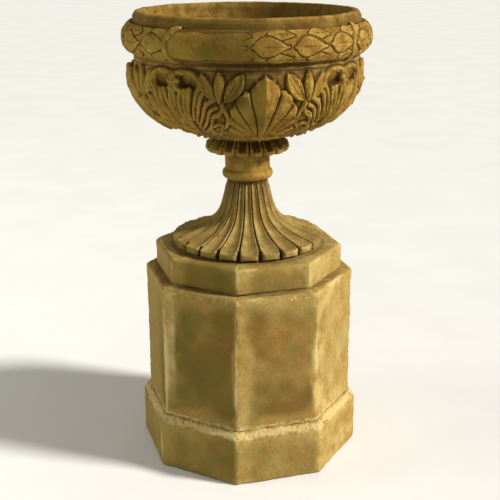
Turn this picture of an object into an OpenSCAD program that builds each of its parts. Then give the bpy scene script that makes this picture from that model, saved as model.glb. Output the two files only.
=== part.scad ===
// Garden urn on an octagonal pedestal, cast stone, with press-moulded relief.
//
// Frame: +Z up, origin on the ground at the centre of the base, flats of the octagon
// square to X and Y. Angles run from -Y towards +X. All sizes are in millimetres.
//
// The pedestal is a base course and a die, bedded and dowelled together. The urn is a
// stack of drilled castings on one hollow tie tube, which also drains the bowl. The urn
// stands on dowels and lifts straight off.

/* [Pedestal] */
// Base course, width across its flats
base_af = 571; // [540:1:600]
// Base course, height of its upright face
base_face_h = 133; // [110:1:150]
// Base course, height of the splayed ledge
ledge_h = 17; // [10:1:25]
// Base course, thickness of its wall
base_wall = 66; // [50:1:75]
// Die, width across its flats at the top
die_af = 537; // [510:1:545]
// Die, how much narrower it is at the bottom
die_taper = 5; // [0:1:10]
// Die, height
die_h = 367; // [300:1:420]
// Die, thickness of its walls and top
die_wall = 45; // [35:1:60]
// Thickness of the mortar bed under the die
die_bed_t = 4; // [2:1:8]
// Thickness of the bed that the urn stands on
seat_bed_t = 3; // [2:1:6]

/* [Foot and neck] */
// Octagonal block, width across its flats
block_af = 481; // [450:1:490]
// Octagonal block, height
block_h = 68; // [55:1:80]
// Thickness of the bed between the block and the foot
foot_bed_t = 2; // [1:1:5]
// Radius of the fluted foot at its spread
foot_r_out = 207; // [195:1:215]
// Height of the fluted foot
foot_h = 149; // [130:1:170]
// Height of the upright ends of the tongues
tongue_h = 26; // [18:1:34]
// Number of tongues round the foot
tongues = 22; // [12:2:28]
// Radius of the neck
neck_r = 61.5; // [55:0.5:68]
// Height of the neck piece
neck_h = 95; // [80:1:110]
// Radius of the bead round the neck
bead_r = 69; // [64:1:74]
// Number of petals in the collar
petals = 18; // [12:2:24]
// Radius of the collar over its petals
collar_r = 113; // [105:1:120]
// Height of the collar
collar_h = 40; // [32:1:48]

/* [Bowl] */
// Height of the bowl
bowl_h = 342; // [320:1:360]
// Radius of the bowl's body
bowl_r = 298; // [290:1:305]
// Radius of the plain band under the rim
band_r = 296; // [288:1:298]
// Height of the round belly above the bowl's underside
belly_h = 182; // [170:1:190]
// Radius of the mouth
mouth_r = 271; // [255:1:276]
// Thickness of the bowl's floor
floor_t = 42; // [36:1:55]

/* [Wreath] */
// Height of the wreath's middle above the bowl's underside
wreath_z = 278; // [270:1:285]
// Half of the wreath's height
wreath_half_h = 40; // [34:1:42]
// How far the wreath stands out, without its leaves
wreath_out = 29; // [22:1:32]
// Leaves in each of the three rows
leaves_per_row = 20; // [12:4:24]
// How far the leaves stand out of the wreath
leaf_out = 6; // [4:1:8]

/* [Relief] */
// Turn of the bowl on its foot, in degrees
bowl_turn = -8; // [-45:1:45]
// How far the relief stands out of the bowl
relief_out = 9; // [6:1:12]

/* [Fixings] */
// Outer radius of the tie tube
tube_r = 10.5; // [9:0.5:11]
// Bore radius of the tie tube
tube_bore_r = 8; // [6:0.5:8]
// Radius of the hole that the tie tube passes through
tube_hole_r = 12.5; // [12:0.5:14]
// Radius of the dowels
dowel_r = 8; // [6:1:10]
// Gap round the upper dowels in the block
dowel_gap = 1; // [0.5:0.5:3]

/* [Hidden] */
bed_lift = 0.01;
$fn = 96;
RELIEF = ["palmette_1", "palmette_2", "palmette_3", "palmette_4",
    "sprig_1", "sprig_2", "sprig_3", "sprig_4", "sprig_5", "sprig_6", "sprig_7", "sprig_8",
    "acanthus_1", "acanthus_2", "acanthus_3", "acanthus_4",
    "bud_1", "bud_2", "bud_3", "bud_4",
    "scroll_1", "scroll_2", "scroll_3", "scroll_4", "scroll_5", "scroll_6", "scroll_7", "scroll_8"];

STONE = [0.66, 0.54, 0.32];
STONE_DARK = [0.50, 0.40, 0.22];
MORTAR = [0.72, 0.63, 0.44];
STEEL = [0.62, 0.63, 0.64];
RUBBER = [0.12, 0.12, 0.12];

// Levels, from the ground up
base_h = base_face_h + ledge_h;
die_z = base_h + die_bed_t;
seat_z = die_z + die_h;
block_z = seat_z + seat_bed_t;
foot_z = block_z + block_h + foot_bed_t;
tongue_z = foot_z + tongue_h;
neck_z = foot_z + foot_h;
collar_z = neck_z + neck_h;
bowl_z = collar_z + collar_h;
rim_z = bowl_z + bowl_h;
floor_z = bowl_z + floor_t;
belly_z = bowl_z + belly_h;
ring_z = bowl_z + wreath_z;

// Octagonal work
edge = 4;                    // chamfer on the castings' edges
edge_small = 2;
die_top_hole_r = 42;         // clears the lower nut and lets water down
dowel_len = 90;
dowel_at = 245;              // distance of the lower dowels from the axis
dowel_seat = 8;              // stone left under an upper dowel
seat_dowel_at = 150;
seat_dowel_up = 38;          // how far an upper dowel stands into the block
dowel_hole_spare = 6;        // spare depth over an upper dowel

// Fluted foot
flare_straight = 32;         // the part of the flare that is straight
flare_power = 4.6;           // how fast the rest spreads
flare_steps = 12;
groove_w = 5;
groove_d = 8;
tongue_gap_r = 8;            // rounding of the gap at the tongues' ends
tongue_end_in = 21;          // how deep the gap runs in from the ends
first_groove = -23.3;

// Collar
petal_gap_r = 6;
petal_groove_w = 4;
petal_in = 20;
first_petal_gap = -8.4;

// Bowl
belly_rz = 194.5;            // half-height of the ellipse that the belly follows
hollow_rz = 175;             // the same for the hollow
hollow_z = rim_z - 135;      // where the hollow's upright wall begins
belly_steps = 12;
lip = 6;
recess_r = 40;               // recess in the floor for the upper nut
recess_d = 22;

// Wreath
row_turn = 48;               // turn of the outer rows round the wreath's section
first_leaf = -13;
leaf_share = 0.92;           // length of a leaf as a share of its pitch
leaf_wide_at = 0.42;         // where along its pitch a leaf is widest
leaf_spread = 22;            // half-width of a leaf, as a turn round the section
ribbon_turn = 46;            // angle of the first ribbon from a palmette
ribbon_slope = 12;           // turn round the section for each degree round the axis
ribbon_half = 2.1;           // half-width of a ribbon, in degrees

// Relief: angles from the palmette, and heights above the bowl's underside
sprig_turn = 20;
acanthus_turn = 45;
scroll_turn = 26;
palmette_root = 60;
sprig_root = 134;
sprig_foot = 116;
sprig_tip = 216;
sprig_side_tip = 204;
sprig_spread = 10;
acanthus_root = 56;
bud_h = 200;
scroll_h = 66;

// Fixings
nut_af = 34;
nut_t = 10;
nut_gap = 0.1;
washer_r = 30;
washer_t = 3;
gasket_r = 34;
gasket_t = 3;
well_r = 38;                 // recess under the block for the lower nut
well_d = 24;
thread_over = 4;             // tube left standing past each nut
lobe_fn = 8;
leaf_fn = 6;

// ---- functions ----------------------------------------------------------------------

// Radius of the fluted foot at height z above the tongues' tops
function foot_u(z) = min(1, max(0, (z - tongue_z) / (neck_z - tongue_z)));
function foot_r(z) = neck_r + flare_straight * (1 - foot_u(z))
    + (foot_r_out - neck_r - flare_straight) * pow(1 - foot_u(z), flare_power);
function foot_step(i) = tongue_z + (neck_z - tongue_z) * pow(i / flare_steps, 1.8);

// Radius of the bowl's body at height z
function bowl_body_r(z) = z >= belly_z ? bowl_r
    : bowl_r * sqrt(1 - pow((belly_z - z) / belly_rz, 2));
function hollow_r(z) = z >= hollow_z ? mouth_r
    : mouth_r * sqrt(1 - pow((hollow_z - z) / hollow_rz, 2));

// A point at radius r, angle a and height z
function polar(r, a, z) = [r * sin(a), -r * cos(a), z];
// A point on the bowl, with out measured from its surface
function on_bowl(a, z, out) = polar(bowl_body_r(z) + out, a, z);
// A point on the wreath, with t the angle round its section
function on_wreath(a, t, out) = polar(band_r - 1 + (wreath_out + out) * cos(t), a,
    ring_z + (wreath_half_h + out) * sin(t));

// Points of a quarter ellipse between two angles, for the bowl's outlines
function outer_curve() = [for (i = [0:belly_steps])
    let (z = bowl_z + belly_h * i / belly_steps) [bowl_body_r(z), z]];
function inner_curve() = [for (i = [belly_steps:-1:0])
    let (z = floor_z + (hollow_z - floor_z) * i / belly_steps) [hollow_r(z), z]];

// ---- building blocks ----------------------------------------------------------------

// An octagonal solid, flats square to X and Y, from a list of [half width, height]
module octagonal(half) {
    outline = [for (p = half) [p[0] / cos(22.5), p[1]]];
    rotate(22.5) rotate_extrude($fn = 8) polygon(concat(
        [[0, outline[0][1]]], outline, [[0, outline[len(outline) - 1][1]]]));
}

// Copies its children count times round the axis
module around(count, first = 0) {
    for (k = [0:count - 1]) rotate(first + 360 * k / count) children();
}

// A thin upright cutter in the plane of the axis, facing -Y
module radial_cutter(outline, width) {
    rotate(-90) rotate([90, 0, 0]) linear_extrude(width, center = true) polygon(outline);
}

// One smooth lobe through the given points, each [point, radius]
module lobe(spots, facets = lobe_fn) {
    hull() for (s = spots) translate(s[0]) sphere(s[1], $fn = facets);
}

// A leaf on the bowl from base [a, z] to tip [a, z], width w, made of two lobes
module bowl_leaf(base, tip, w, r, out) {
    da = tip[0] - base[0];
    dz = tip[1] - base[1];
    mid_z = base[1] + 0.45 * dz;
    mid_a = base[0] + 0.45 * da;
    arc = bowl_body_r(mid_z) * PI / 180;
    run = sqrt(pow(da * arc, 2) + dz * dz);
    side_a = w / 2 * dz / run / arc;
    side_z = w / 2 * da * arc / run;
    left = [on_bowl(mid_a - side_a, mid_z + side_z, out - r), r];
    right = [on_bowl(mid_a + side_a, mid_z - side_z, out - r), r];
    lobe([[on_bowl(base[0], base[1], out - r), r * 0.8], left, right]);
    lobe([left, right, [on_bowl(tip[0], tip[1], out - r), r * 0.8]]);
}

module nut(z) {
    translate([0, 0, z]) difference() {
        cylinder(r = nut_af / 2 / cos(30), h = nut_t, $fn = 6);
        translate([0, 0, -1]) cylinder(r = tube_r + nut_gap, h = nut_t + 2);
    }
}

module ring(r_out, r_in, z, h) {
    translate([0, 0, z]) difference() {
        cylinder(r = r_out, h = h);
        translate([0, 0, -1]) cylinder(r = r_in, h = h + 2);
    }
}

module dowels(at, z, length, r) {
    for (k = [0:3]) rotate(90 * k) translate([at, 0, z]) cylinder(r = r, h = length);
}

// ---- pedestal -----------------------------------------------------------------------

module base_course() {
    out = base_af / 2;
    ledge = (die_af - die_taper) / 2 + edge_small;
    inner = out - base_wall;
    color(STONE) difference() {
        octagonal([[out - edge, 0], [out, edge], [out, base_face_h - edge],
            [out - edge, base_face_h], [ledge, base_h]]);
        octagonal([[inner, -1], [inner, base_h + 1]]);
        dowels(dowel_at, base_h - dowel_len / 2, dowel_len, dowel_r);
    }
}

module die_bed() {
    out = (die_af - die_taper) / 2 - edge_small;
    color(MORTAR) difference() {
        octagonal([[out, base_h], [out, die_z]]);
        octagonal([[base_af / 2 - base_wall, base_h - 1], [base_af / 2 - base_wall, die_z + 1]]);
        dowels(dowel_at, base_h - dowel_len / 2, dowel_len, dowel_r);
    }
}

module die() {
    low = (die_af - die_taper) / 2;
    high = die_af / 2;
    color(STONE) difference() {
        octagonal([[low - edge_small, die_z], [low, die_z + edge_small],
            [high, seat_z - edge], [high - edge, seat_z]]);
        octagonal([[low - die_wall, die_z - 1], [low - die_wall, seat_z - die_wall]]);
        translate([0, 0, seat_z - die_wall - 1]) cylinder(r = die_top_hole_r, h = die_wall + 2);
        dowels(dowel_at, base_h - dowel_len / 2, dowel_len, dowel_r);
        dowels(seat_dowel_at, seat_z - die_wall + dowel_seat, die_wall, dowel_r);
    }
}

module die_dowels() {
    color(STEEL) dowels(dowel_at, base_h - dowel_len / 2, dowel_len, dowel_r);
}

module seat_dowels() {
    low = seat_z - die_wall + dowel_seat;
    color(STEEL) dowels(seat_dowel_at, low, block_z + seat_dowel_up - low, dowel_r);
}

module seat_bed() {
    out = block_af / 2 - edge;
    color(MORTAR) difference() {
        octagonal([[out, seat_z], [out, block_z]]);
        translate([0, 0, seat_z - 1]) cylinder(r = die_top_hole_r, h = seat_bed_t + 2);
        dowels(seat_dowel_at, seat_z - 1, seat_bed_t + 2, dowel_r);
    }
}

// ---- foot and neck ------------------------------------------------------------------

module base_block() {
    out = block_af / 2;
    top = block_z + block_h;
    color(STONE) difference() {
        octagonal([[out - edge_small, block_z], [out, block_z + edge_small],
            [out, top - edge], [out - edge, top]]);
        translate([0, 0, block_z - 1]) cylinder(r = tube_hole_r, h = block_h + 2);
        translate([0, 0, block_z - 1]) cylinder(r = well_r, h = well_d + 1);
        dowels(seat_dowel_at, block_z - 1, seat_dowel_up + dowel_hole_spare + 1,
            dowel_r + dowel_gap);
    }
}

module foot_bed() {
    color(MORTAR) ring(foot_r_out - tongue_end_in - edge, tube_hole_r,
        foot_z - foot_bed_t + bed_lift, foot_bed_t - bed_lift);
}

module fluted_foot() {
    curve = [for (i = [1:flare_steps]) let (z = foot_step(i)) [foot_r(z), z]];
    floor_curve = [for (i = [2:flare_steps]) let (z = foot_step(i), t = 90 * sqrt(foot_u(z)))
        [foot_r(z) - groove_d * sin(t) * 0.6, z - groove_d * cos(t)]];
    gap_in = foot_r_out - tongue_end_in;
    color(STONE) difference() {
        rotate_extrude() polygon(concat(
            [[tube_hole_r, foot_z], [foot_r_out - edge, foot_z], [foot_r_out, foot_z + edge],
             [foot_r_out, tongue_z - edge], [foot_r_out - edge / 2, tongue_z]],
            curve, [[tube_hole_r, neck_z]]));
        around(tongues, first_groove) radial_cutter(concat(
            [[foot_r_out + 40, foot_z - 1], [gap_in, foot_z - 1]], floor_curve,
            [[neck_r - groove_d / 2, neck_z + 1], [foot_r_out + 40, neck_z + 1]]), groove_w);
        around(tongues, first_groove) translate([0, -foot_r_out - 2, foot_z - 1])
            cylinder(r = tongue_gap_r, h = tongue_h + 2);
    }
}

module neck_ring() {
    bead_half = 11.5;
    bead_z = neck_z + 45;
    color(STONE) difference() {
        union() {
            translate([0, 0, neck_z]) cylinder(r = neck_r, h = neck_h);
            translate([0, 0, bead_z]) rotate_extrude()
                translate([bead_r - bead_half, 0]) circle(bead_half);
        }
        translate([0, 0, neck_z - 1]) cylinder(r = tube_hole_r, h = neck_h + 2);
    }
}

module petal_collar() {
    top = collar_z + collar_h;
    color(STONE) difference() {
        rotate_extrude() polygon([[tube_hole_r, collar_z], [collar_r - 25, collar_z],
            [collar_r - 10, collar_z + 6], [collar_r - 2, collar_z + 13],
            [collar_r, collar_z + 20], [collar_r - 1, collar_z + 30],
            [collar_r - 5, top - 2], [collar_r - 13, top], [tube_hole_r, top]]);
        around(petals, first_petal_gap) radial_cutter([[collar_r + 10, collar_z - 1],
            [collar_r - petal_in - 5, collar_z - 1], [collar_r - petal_in, top - 8],
            [collar_r - 6, top + 1], [collar_r + 10, top + 1]], petal_groove_w);
        around(petals, first_petal_gap) translate([0, -collar_r - 2, collar_z - 1])
            cylinder(r = petal_gap_r, h = collar_h + 2);
    }
}

// ---- bowl ---------------------------------------------------------------------------

module bowl() {
    color(STONE) rotate_extrude() polygon(concat(
        [[tube_hole_r, bowl_z]], outer_curve(),
        [[bowl_r, belly_z + 22], [band_r, belly_z + 30], [band_r, rim_z - 2 * lip],
         [band_r - lip / 2, rim_z - lip / 2], [band_r - 1.5 * lip, rim_z],
         [mouth_r + lip, rim_z], [mouth_r + 1, rim_z - lip]],
        inner_curve(),
        [[recess_r, floor_z], [recess_r, floor_z - recess_d], [tube_hole_r, floor_z - recess_d]]));
}

// ---- wreath -------------------------------------------------------------------------

module wreath_ring() {
    color(STONE) rotate_extrude() polygon(concat([[band_r - 1, ring_z - wreath_half_h]],
        [for (t = [-75:15:75])
            [band_r - 1 + wreath_out * cos(t), ring_z + wreath_half_h * sin(t)]],
        [[band_r - 1, ring_z + wreath_half_h]]));
}

// One laurel leaf, lying along the wreath, tip at angle a, t its place round the section
module laurel(a, t) {
    pitch = 360 / leaves_per_row;
    wide = a + pitch * leaf_wide_at;
    r = 4;
    tip = [on_wreath(a, t, leaf_out - r - 1), r * 0.7];
    base = [on_wreath(a + pitch * leaf_share, t, leaf_out - r - 3), r * 0.7];
    lobe([tip, base, [on_wreath(wide, t + leaf_spread, leaf_out - r - 2), r],
        [on_wreath(wide, t, leaf_out - r), r],
        [on_wreath(wide, t - leaf_spread, leaf_out - r - 2), r]], leaf_fn);
}

module wreath_leaves() {
    pitch = 360 / leaves_per_row;
    color(STONE) for (k = [0:leaves_per_row - 1], row = [-1:1])
        laurel(first_leaf + pitch * (k + 0.5 * abs(row)), row * row_turn);
}

module wreath_ribbons() {
    step = 25;
    r = 4;
    color(STONE) for (k = [0:3], t = [-75:step:50])
        lobe([for (side = [-1, 1], turn = [t, t + step])
            [on_wreath(bowl_turn + ribbon_turn + 90 * k + turn / ribbon_slope
                + side * ribbon_half, turn, 2), r]], leaf_fn);
}

// ---- relief on the bowl -------------------------------------------------------------

// Seven-lobed palmette, its root near the collar, centred on angle c
module palmette(c) {
    root = [c, bowl_z + palmette_root];
    // Each lobe's turn from the centre, height and width
    lobes = [[0, 212, 46], [-7, 186, 34], [7, 186, 34], [-16, 134, 32], [16, 134, 32],
        [-19, 94, 24], [19, 94, 24]];
    color(STONE_DARK) {
        for (n = lobes)
            bowl_leaf([c + n[0] * 0.15, root[1]], [c + n[0], bowl_z + n[1] - 5], n[2], 6,
                relief_out + n[2] / 15);
        lobe([[on_bowl(c, root[1] - 8, relief_out - 8), 9],
            [on_bowl(c, root[1] + 14, relief_out - 8), 11]]);
    }
}

// Three-leaved sprig on a short stem
module sprig(c) {
    root = [c, bowl_z + sprig_root];
    color(STONE_DARK) {
        bowl_leaf(root, [c, bowl_z + sprig_tip], 26, 5, relief_out);
        for (side = [-1, 1])
            bowl_leaf(root, [c + side * sprig_spread, bowl_z + sprig_side_tip], 22, 5, relief_out);
        lobe([[on_bowl(c, bowl_z + sprig_foot, 0), 4], [on_bowl(c, root[1], 1), 5]]);
        lobe([[on_bowl(c - 1, root[1], 2), 6], [on_bowl(c + 1, root[1] + 6, 2), 6]]);
    }
}

// Spray of acanthus blades that spread and curl to each side
module acanthus(c) {
    // Each blade's turn from the middle and the height of its tip
    tips = [[-4, 172], [4, 172], [-9, 156], [9, 156], [-13.5, 158], [13.5, 158],
        [-15, 128], [15, 128], [-17.5, 106], [17.5, 106]];
    rise = [for (t = tips) t[1] - acanthus_root];
    color(STONE_DARK) for (k = [0:len(tips) - 1])
        lobe([[on_bowl(c + tips[k][0] * 0.2, bowl_z + acanthus_root, relief_out - 9), 6],
            [on_bowl(c + tips[k][0] * 0.7, bowl_z + acanthus_root + rise[k] * 0.65,
                relief_out - 8), 7],
            [on_bowl(c + tips[k][0], bowl_z + tips[k][1], relief_out - 6), 7]], leaf_fn);
}

// A cluster of eight beads round a boss, centred at angle c and height z
module cluster(c, z, boss_r, bead_r, up, facets) {
    across = 2.6;
    color(STONE_DARK) for (turn = [0:45:315])
        lobe([[on_bowl(c, z, relief_out - 8), boss_r],
            [on_bowl(c + across * cos(turn), z + up * sin(turn), relief_out - 5), bead_r]], facets);
}

// Seed bud above the acanthus
module bud(c) {
    cluster(c, bowl_z + bud_h, 10, 5, 13, lobe_fn);
}

// Small berried scroll low on the bowl
module scroll(c) {
    cluster(c, bowl_z + scroll_h, 7, 4.5, 9, leaf_fn);
}

// ---- fixings ------------------------------------------------------------------------

module tie_tube() {
    low = block_z + well_d - washer_t - nut_t - thread_over;
    high = floor_z - recess_d + gasket_t + washer_t + nut_t + thread_over;
    color(STEEL) ring(tube_r, tube_bore_r, low, high - low);
}

module nut_top() {
    color(STEEL) nut(floor_z - recess_d + gasket_t + washer_t);
}

module nut_bottom() {
    color(STEEL) nut(block_z + well_d - washer_t - nut_t);
}

module washer_top() {
    color(STEEL) ring(washer_r, tube_hole_r, floor_z - recess_d + gasket_t, washer_t);
}

module washer_bottom() {
    color(STEEL) ring(washer_r, tube_hole_r, block_z + well_d - washer_t, washer_t);
}

module gasket() {
    color(RUBBER) ring(gasket_r, tube_hole_r, floor_z - recess_d, gasket_t);
}

// ---- nodes --------------------------------------------------------------------------

base_course();
die_bed();
die();
die_dowels();
seat_dowels();
seat_bed();
base_block();
foot_bed();
fluted_foot();
neck_ring();
petal_collar();
bowl();
wreath_ring();
wreath_leaves();
wreath_ribbons();
tie_tube();
nut_top();
nut_bottom();
washer_top();
washer_bottom();
gasket();
for (k = [1:4]) {
    centre = bowl_turn + 90 * (k - 1);
    palmette(centre);
    acanthus(centre + acanthus_turn);
    bud(centre + acanthus_turn);
}
for (k = [1:8]) {
    side = k % 2 == 1 ? -1 : 1;
    centre = bowl_turn + 90 * floor((k - 1) / 2);
    sprig(centre + side * sprig_turn);
    scroll(centre + side * scroll_turn);
}
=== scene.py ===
"""Weathered cast-stone garden urn on an octagonal pedestal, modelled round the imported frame."""
import math

import bpy
import numpy as np
from mathutils import Matrix, Vector


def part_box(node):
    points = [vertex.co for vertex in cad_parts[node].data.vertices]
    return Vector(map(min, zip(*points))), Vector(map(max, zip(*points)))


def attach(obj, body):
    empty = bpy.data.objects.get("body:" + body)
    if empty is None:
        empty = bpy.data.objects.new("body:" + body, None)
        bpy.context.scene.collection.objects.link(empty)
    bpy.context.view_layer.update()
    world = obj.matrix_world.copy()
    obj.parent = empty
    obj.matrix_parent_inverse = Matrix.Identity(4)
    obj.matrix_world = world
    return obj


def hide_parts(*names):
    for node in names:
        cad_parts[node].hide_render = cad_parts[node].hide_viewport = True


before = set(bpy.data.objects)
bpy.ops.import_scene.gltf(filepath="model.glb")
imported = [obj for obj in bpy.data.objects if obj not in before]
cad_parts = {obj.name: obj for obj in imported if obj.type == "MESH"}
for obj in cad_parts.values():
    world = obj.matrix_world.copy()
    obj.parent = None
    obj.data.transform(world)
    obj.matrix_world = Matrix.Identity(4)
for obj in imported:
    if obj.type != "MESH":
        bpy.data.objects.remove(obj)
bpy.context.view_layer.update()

# Lengths are millimetres until build() turns them into metres.
# Angles run from the front, -Y, towards +X.
MM = 0.001
# Colour layers per point: dirt and painted shade; worn edges with a painted highlight; lime deposit; stains
# that are partly painted shade.
LAYERS = ("dirt_and_painted_shade", "edge", "deposit", "stain")
FAR = 1e3      # a gap to an edge that isn't there
EMPTY = -9.0   # a canvas's height where nothing is drawn
LATTICE = np.random.default_rng(11).random((64, 64, 64)).astype(np.float32)


# ---------------------------------------------------------------- small mathematics
def noise(points, size, seed=0):
    """Smooth value noise from -1 to 1, with blotches about size mm across."""
    q = points / size + 17.3 * seed
    cell = np.floor(q).astype(np.int64)
    f = q - cell
    f = f * f * (3 - 2 * f)
    low = cell & 63
    high = (cell + 1) & 63
    total = 0
    for ix, fx in ((low[..., 0], 1 - f[..., 0]), (high[..., 0], f[..., 0])):
        for iy, fy in ((low[..., 1], 1 - f[..., 1]), (high[..., 1], f[..., 1])):
            for iz, fz in ((low[..., 2], 1 - f[..., 2]), (high[..., 2], f[..., 2])):
                total = total + LATTICE[ix, iy, iz] * fx * fy * fz
    return 2 * total - 1


def blotches(points, *layers):
    """Noise summed over (amount, size in mm, seed)."""
    total = 0
    for amount, size, seed in layers:
        total = total + amount * noise(points, size, seed)
    return total


def bell(x, centre, width):
    """1 at the centre, falling off smoothly on both sides."""
    return np.exp(-((x - centre) / width) ** 2)


def ramp(x, start, end):
    """0 before start, 1 after end, and smooth between them."""
    t = np.clip((x - start) / (end - start), 0, 1)
    return t * t * (3 - 2 * t)


def spline(points, per_span=9):
    """A smooth curve through the points."""
    p = np.array(points, float)
    p = np.vstack([2 * p[0] - p[1], p, 2 * p[-1] - p[-2]])
    t = np.linspace(0, 1, per_span, endpoint=False)[:, None]
    out = []
    for k in range(len(p) - 3):
        a, b, c, d = p[k:k + 4]
        out.append(0.5 * (2 * b + (c - a) * t + (2 * a - 5 * b + 4 * c - d) * t ** 2
                          + (3 * b - a - 3 * c + d) * t ** 3))
    return np.vstack(out + [p[-2:-1]])


def blur(field, radius, wrap=True):
    """Three box blurs over rows and columns; columns wrap round if asked."""
    for _ in range(3):
        for axis in (0, 1):
            mode = "wrap" if wrap and axis == 1 else "edge"
            pad = [(0, 0), (0, 0)]
            pad[axis] = (radius + 1, radius)
            total = np.cumsum(np.pad(field, pad, mode=mode), axis=axis)
            span = 2 * radius + 1
            if axis == 0:
                field = (total[span:] - total[:-span]) / span
            else:
                field = (total[:, span:] - total[:, :-span]) / span
    return field


def around(r, a, z):
    """Points at radius r, angle a (radians) and height z."""
    r, a, z = np.broadcast_arrays(r, a, z)
    return np.stack([r * np.sin(a), -r * np.cos(a), z], axis=-1)


def bearing(p):
    """Degrees round from the front to each point."""
    return np.degrees(np.arctan2(p[:, 0], -p[:, 1]))


def even(count):
    """Equal steps all the way round, in radians."""
    return np.arange(count) * math.tau / count


def distances(r, z):
    """Length along a line of the section, from its start."""
    return np.concatenate([[0], np.cumsum(np.hypot(np.diff(r), np.diff(z)))])


def line_normals(r, z):
    """The outward direction along an open line of the section that goes up."""
    run = np.stack([np.gradient(r), np.gradient(z)], axis=1)
    run /= np.linalg.norm(run, axis=1)[:, None]
    return np.stack([run[:, 1], -run[:, 0]], axis=1)


def levels(node):
    """The lowest and highest level of a CAD node, in mm."""
    return [corner[2] * 1000 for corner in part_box(node)]


def zeros(points):
    """No rise and no dirt anywhere on the grid."""
    return np.zeros(points.shape[:2])


# ---------------------------------------------------------------- meshes
def add_object(name, data):
    piece = bpy.data.objects.new(name, data)
    bpy.context.scene.collection.objects.link(piece)
    return piece


def build(name, nodes, body, points, faces, values, material):
    """A mesh piece from points in mm, lists of triangles and quads, and a value per point and layer."""
    mesh = bpy.data.meshes.new(name)
    mesh.vertices.add(len(points))
    mesh.vertices.foreach_set("co", (points * MM).astype(np.float32).ravel())
    loops = np.concatenate([f.ravel() for f in faces]).astype(np.int32)
    sizes = np.concatenate([np.full(len(f), f.shape[1]) for f in faces])
    starts = np.concatenate([[0], np.cumsum(sizes)[:-1]]).astype(np.int32)
    mesh.loops.add(len(loops))
    mesh.loops.foreach_set("vertex_index", loops)
    mesh.polygons.add(len(starts))
    mesh.polygons.foreach_set("loop_start", starts)
    mesh.polygons.foreach_set("use_smooth", np.ones(len(starts), dtype=bool))
    for key in LAYERS:
        value = values.get(key, 0.0) if values else 0.0
        layer = mesh.attributes.new(key, "FLOAT", "POINT")
        layer.data.foreach_set("value", np.broadcast_to(value, len(points)).astype(np.float32))
    mesh.update(calc_edges=True)
    mesh.materials.append(material)
    piece = add_object(name, mesh)
    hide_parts(*nodes)
    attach(piece, body)
    return piece


def ring_faces(rows, columns):
    """Quads of a grid that closes on itself both ways, facing out."""
    i = np.arange(rows)[:, None]
    j = np.arange(columns)[None, :]
    up = (i + 1) % rows
    on = (j + 1) % columns
    quads = np.stack([i * columns + j, i * columns + on, up * columns + on, up * columns + j], axis=-1)
    return quads.reshape(-1, 4)


def outline(corners):
    """A closed section from (r, z, fillet, step to the next corner), going up the outside."""
    count = len(corners)
    places = [np.array(c[:2], float) for c in corners]
    arcs = []
    for k in range(count):
        before = places[k - 1] - places[k]
        after = places[(k + 1) % count] - places[k]
        before /= np.linalg.norm(before)
        after /= np.linalg.norm(after)
        fillet = corners[k][2]
        if fillet <= 0:
            arcs.append([places[k]])
            continue
        angle = math.acos(max(-1, min(1, float(before @ after))))
        cut = fillet / math.tan(angle / 2)
        middle = before + after
        centre = places[k] + middle / np.linalg.norm(middle) * fillet / math.sin(angle / 2)
        start = places[k] + before * cut - centre
        end = places[k] + after * cut - centre
        turn = math.pi - angle
        arc = []
        for t in np.linspace(0, 1, 5 if fillet < 4 else 8):
            blend = math.sin((1 - t) * turn) * start + math.sin(t * turn) * end
            arc.append(centre + blend / math.sin(turn))
        arcs.append(arc)
    section = []
    for k in range(count):
        section.extend(arcs[k])
        start = arcs[k][-1]
        end = arcs[(k + 1) % count][0]
        pieces = max(1, int(round(np.linalg.norm(end - start) / corners[k][3])))
        for t in np.arange(1, pieces) / pieces:
            section.append(start + (end - start) * t)
    return np.array(section)


def curve(radii, heights):
    """Corners without fillets along a smooth line of the section."""
    return [(r, z, 0, 1000) for r, z in zip(radii, heights)]


def section_normals(section):
    """The outward direction at each point of a closed section."""
    run = np.roll(section, -1, axis=0) - np.roll(section, 1, axis=0)
    run /= np.maximum(np.linalg.norm(run, axis=1), 1e-9)[:, None]
    return np.stack([run[:, 1], -run[:, 0]], axis=1)


def octagon_angles(half, step, corner_step, corner_zone):
    """Column angles round an octagon, closer together beside its corners."""
    edge = half * math.tan(math.pi / 8)
    flat = edge - corner_zone
    middle = np.linspace(-flat, flat, max(2, int(2 * flat / step)) + 1)
    side = np.linspace(flat, edge, int(corner_zone / corner_step) + 1)[1:]
    across = np.concatenate([-side[::-1], middle, side[:-1]])
    return np.concatenate([np.arctan(across / half) + k * math.pi / 4 for k in range(8)])


def octagon_radius(angles, half, rounding):
    """Distance from the axis to an octagon with rounded corners, and the distance to its nearest corner."""
    half = np.asarray(half, float)[:, None]
    rounding = np.minimum(rounding, 0.4 * half)
    off = (angles + math.pi / 8) % (math.pi / 4) - math.pi / 8
    across = np.abs(np.tan(off)) * half
    limit = (half - rounding) * math.tan(math.pi / 8)
    centre = (half - rounding) / math.cos(math.pi / 8)
    turn = np.abs(off) - math.pi / 8
    under = np.clip(rounding ** 2 - (centre * np.sin(turn)) ** 2, 0, None)
    round_part = centre * np.cos(turn) + np.sqrt(under)
    radius = np.where(across > limit, round_part, half / np.cos(off))
    return radius, half * math.tan(math.pi / 8) - across


# ---------------------------------------------------------------- materials
def linear(r, g, b):
    """A colour given from 0 to 255 as the eye sees it, as the shader wants it."""
    out = []
    for v in (r, g, b):
        v = v / 255
        out.append(v / 12.92 if v <= 0.04045 else ((v + 0.055) / 1.055) ** 2.4)
    return (*out, 1.0)


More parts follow.
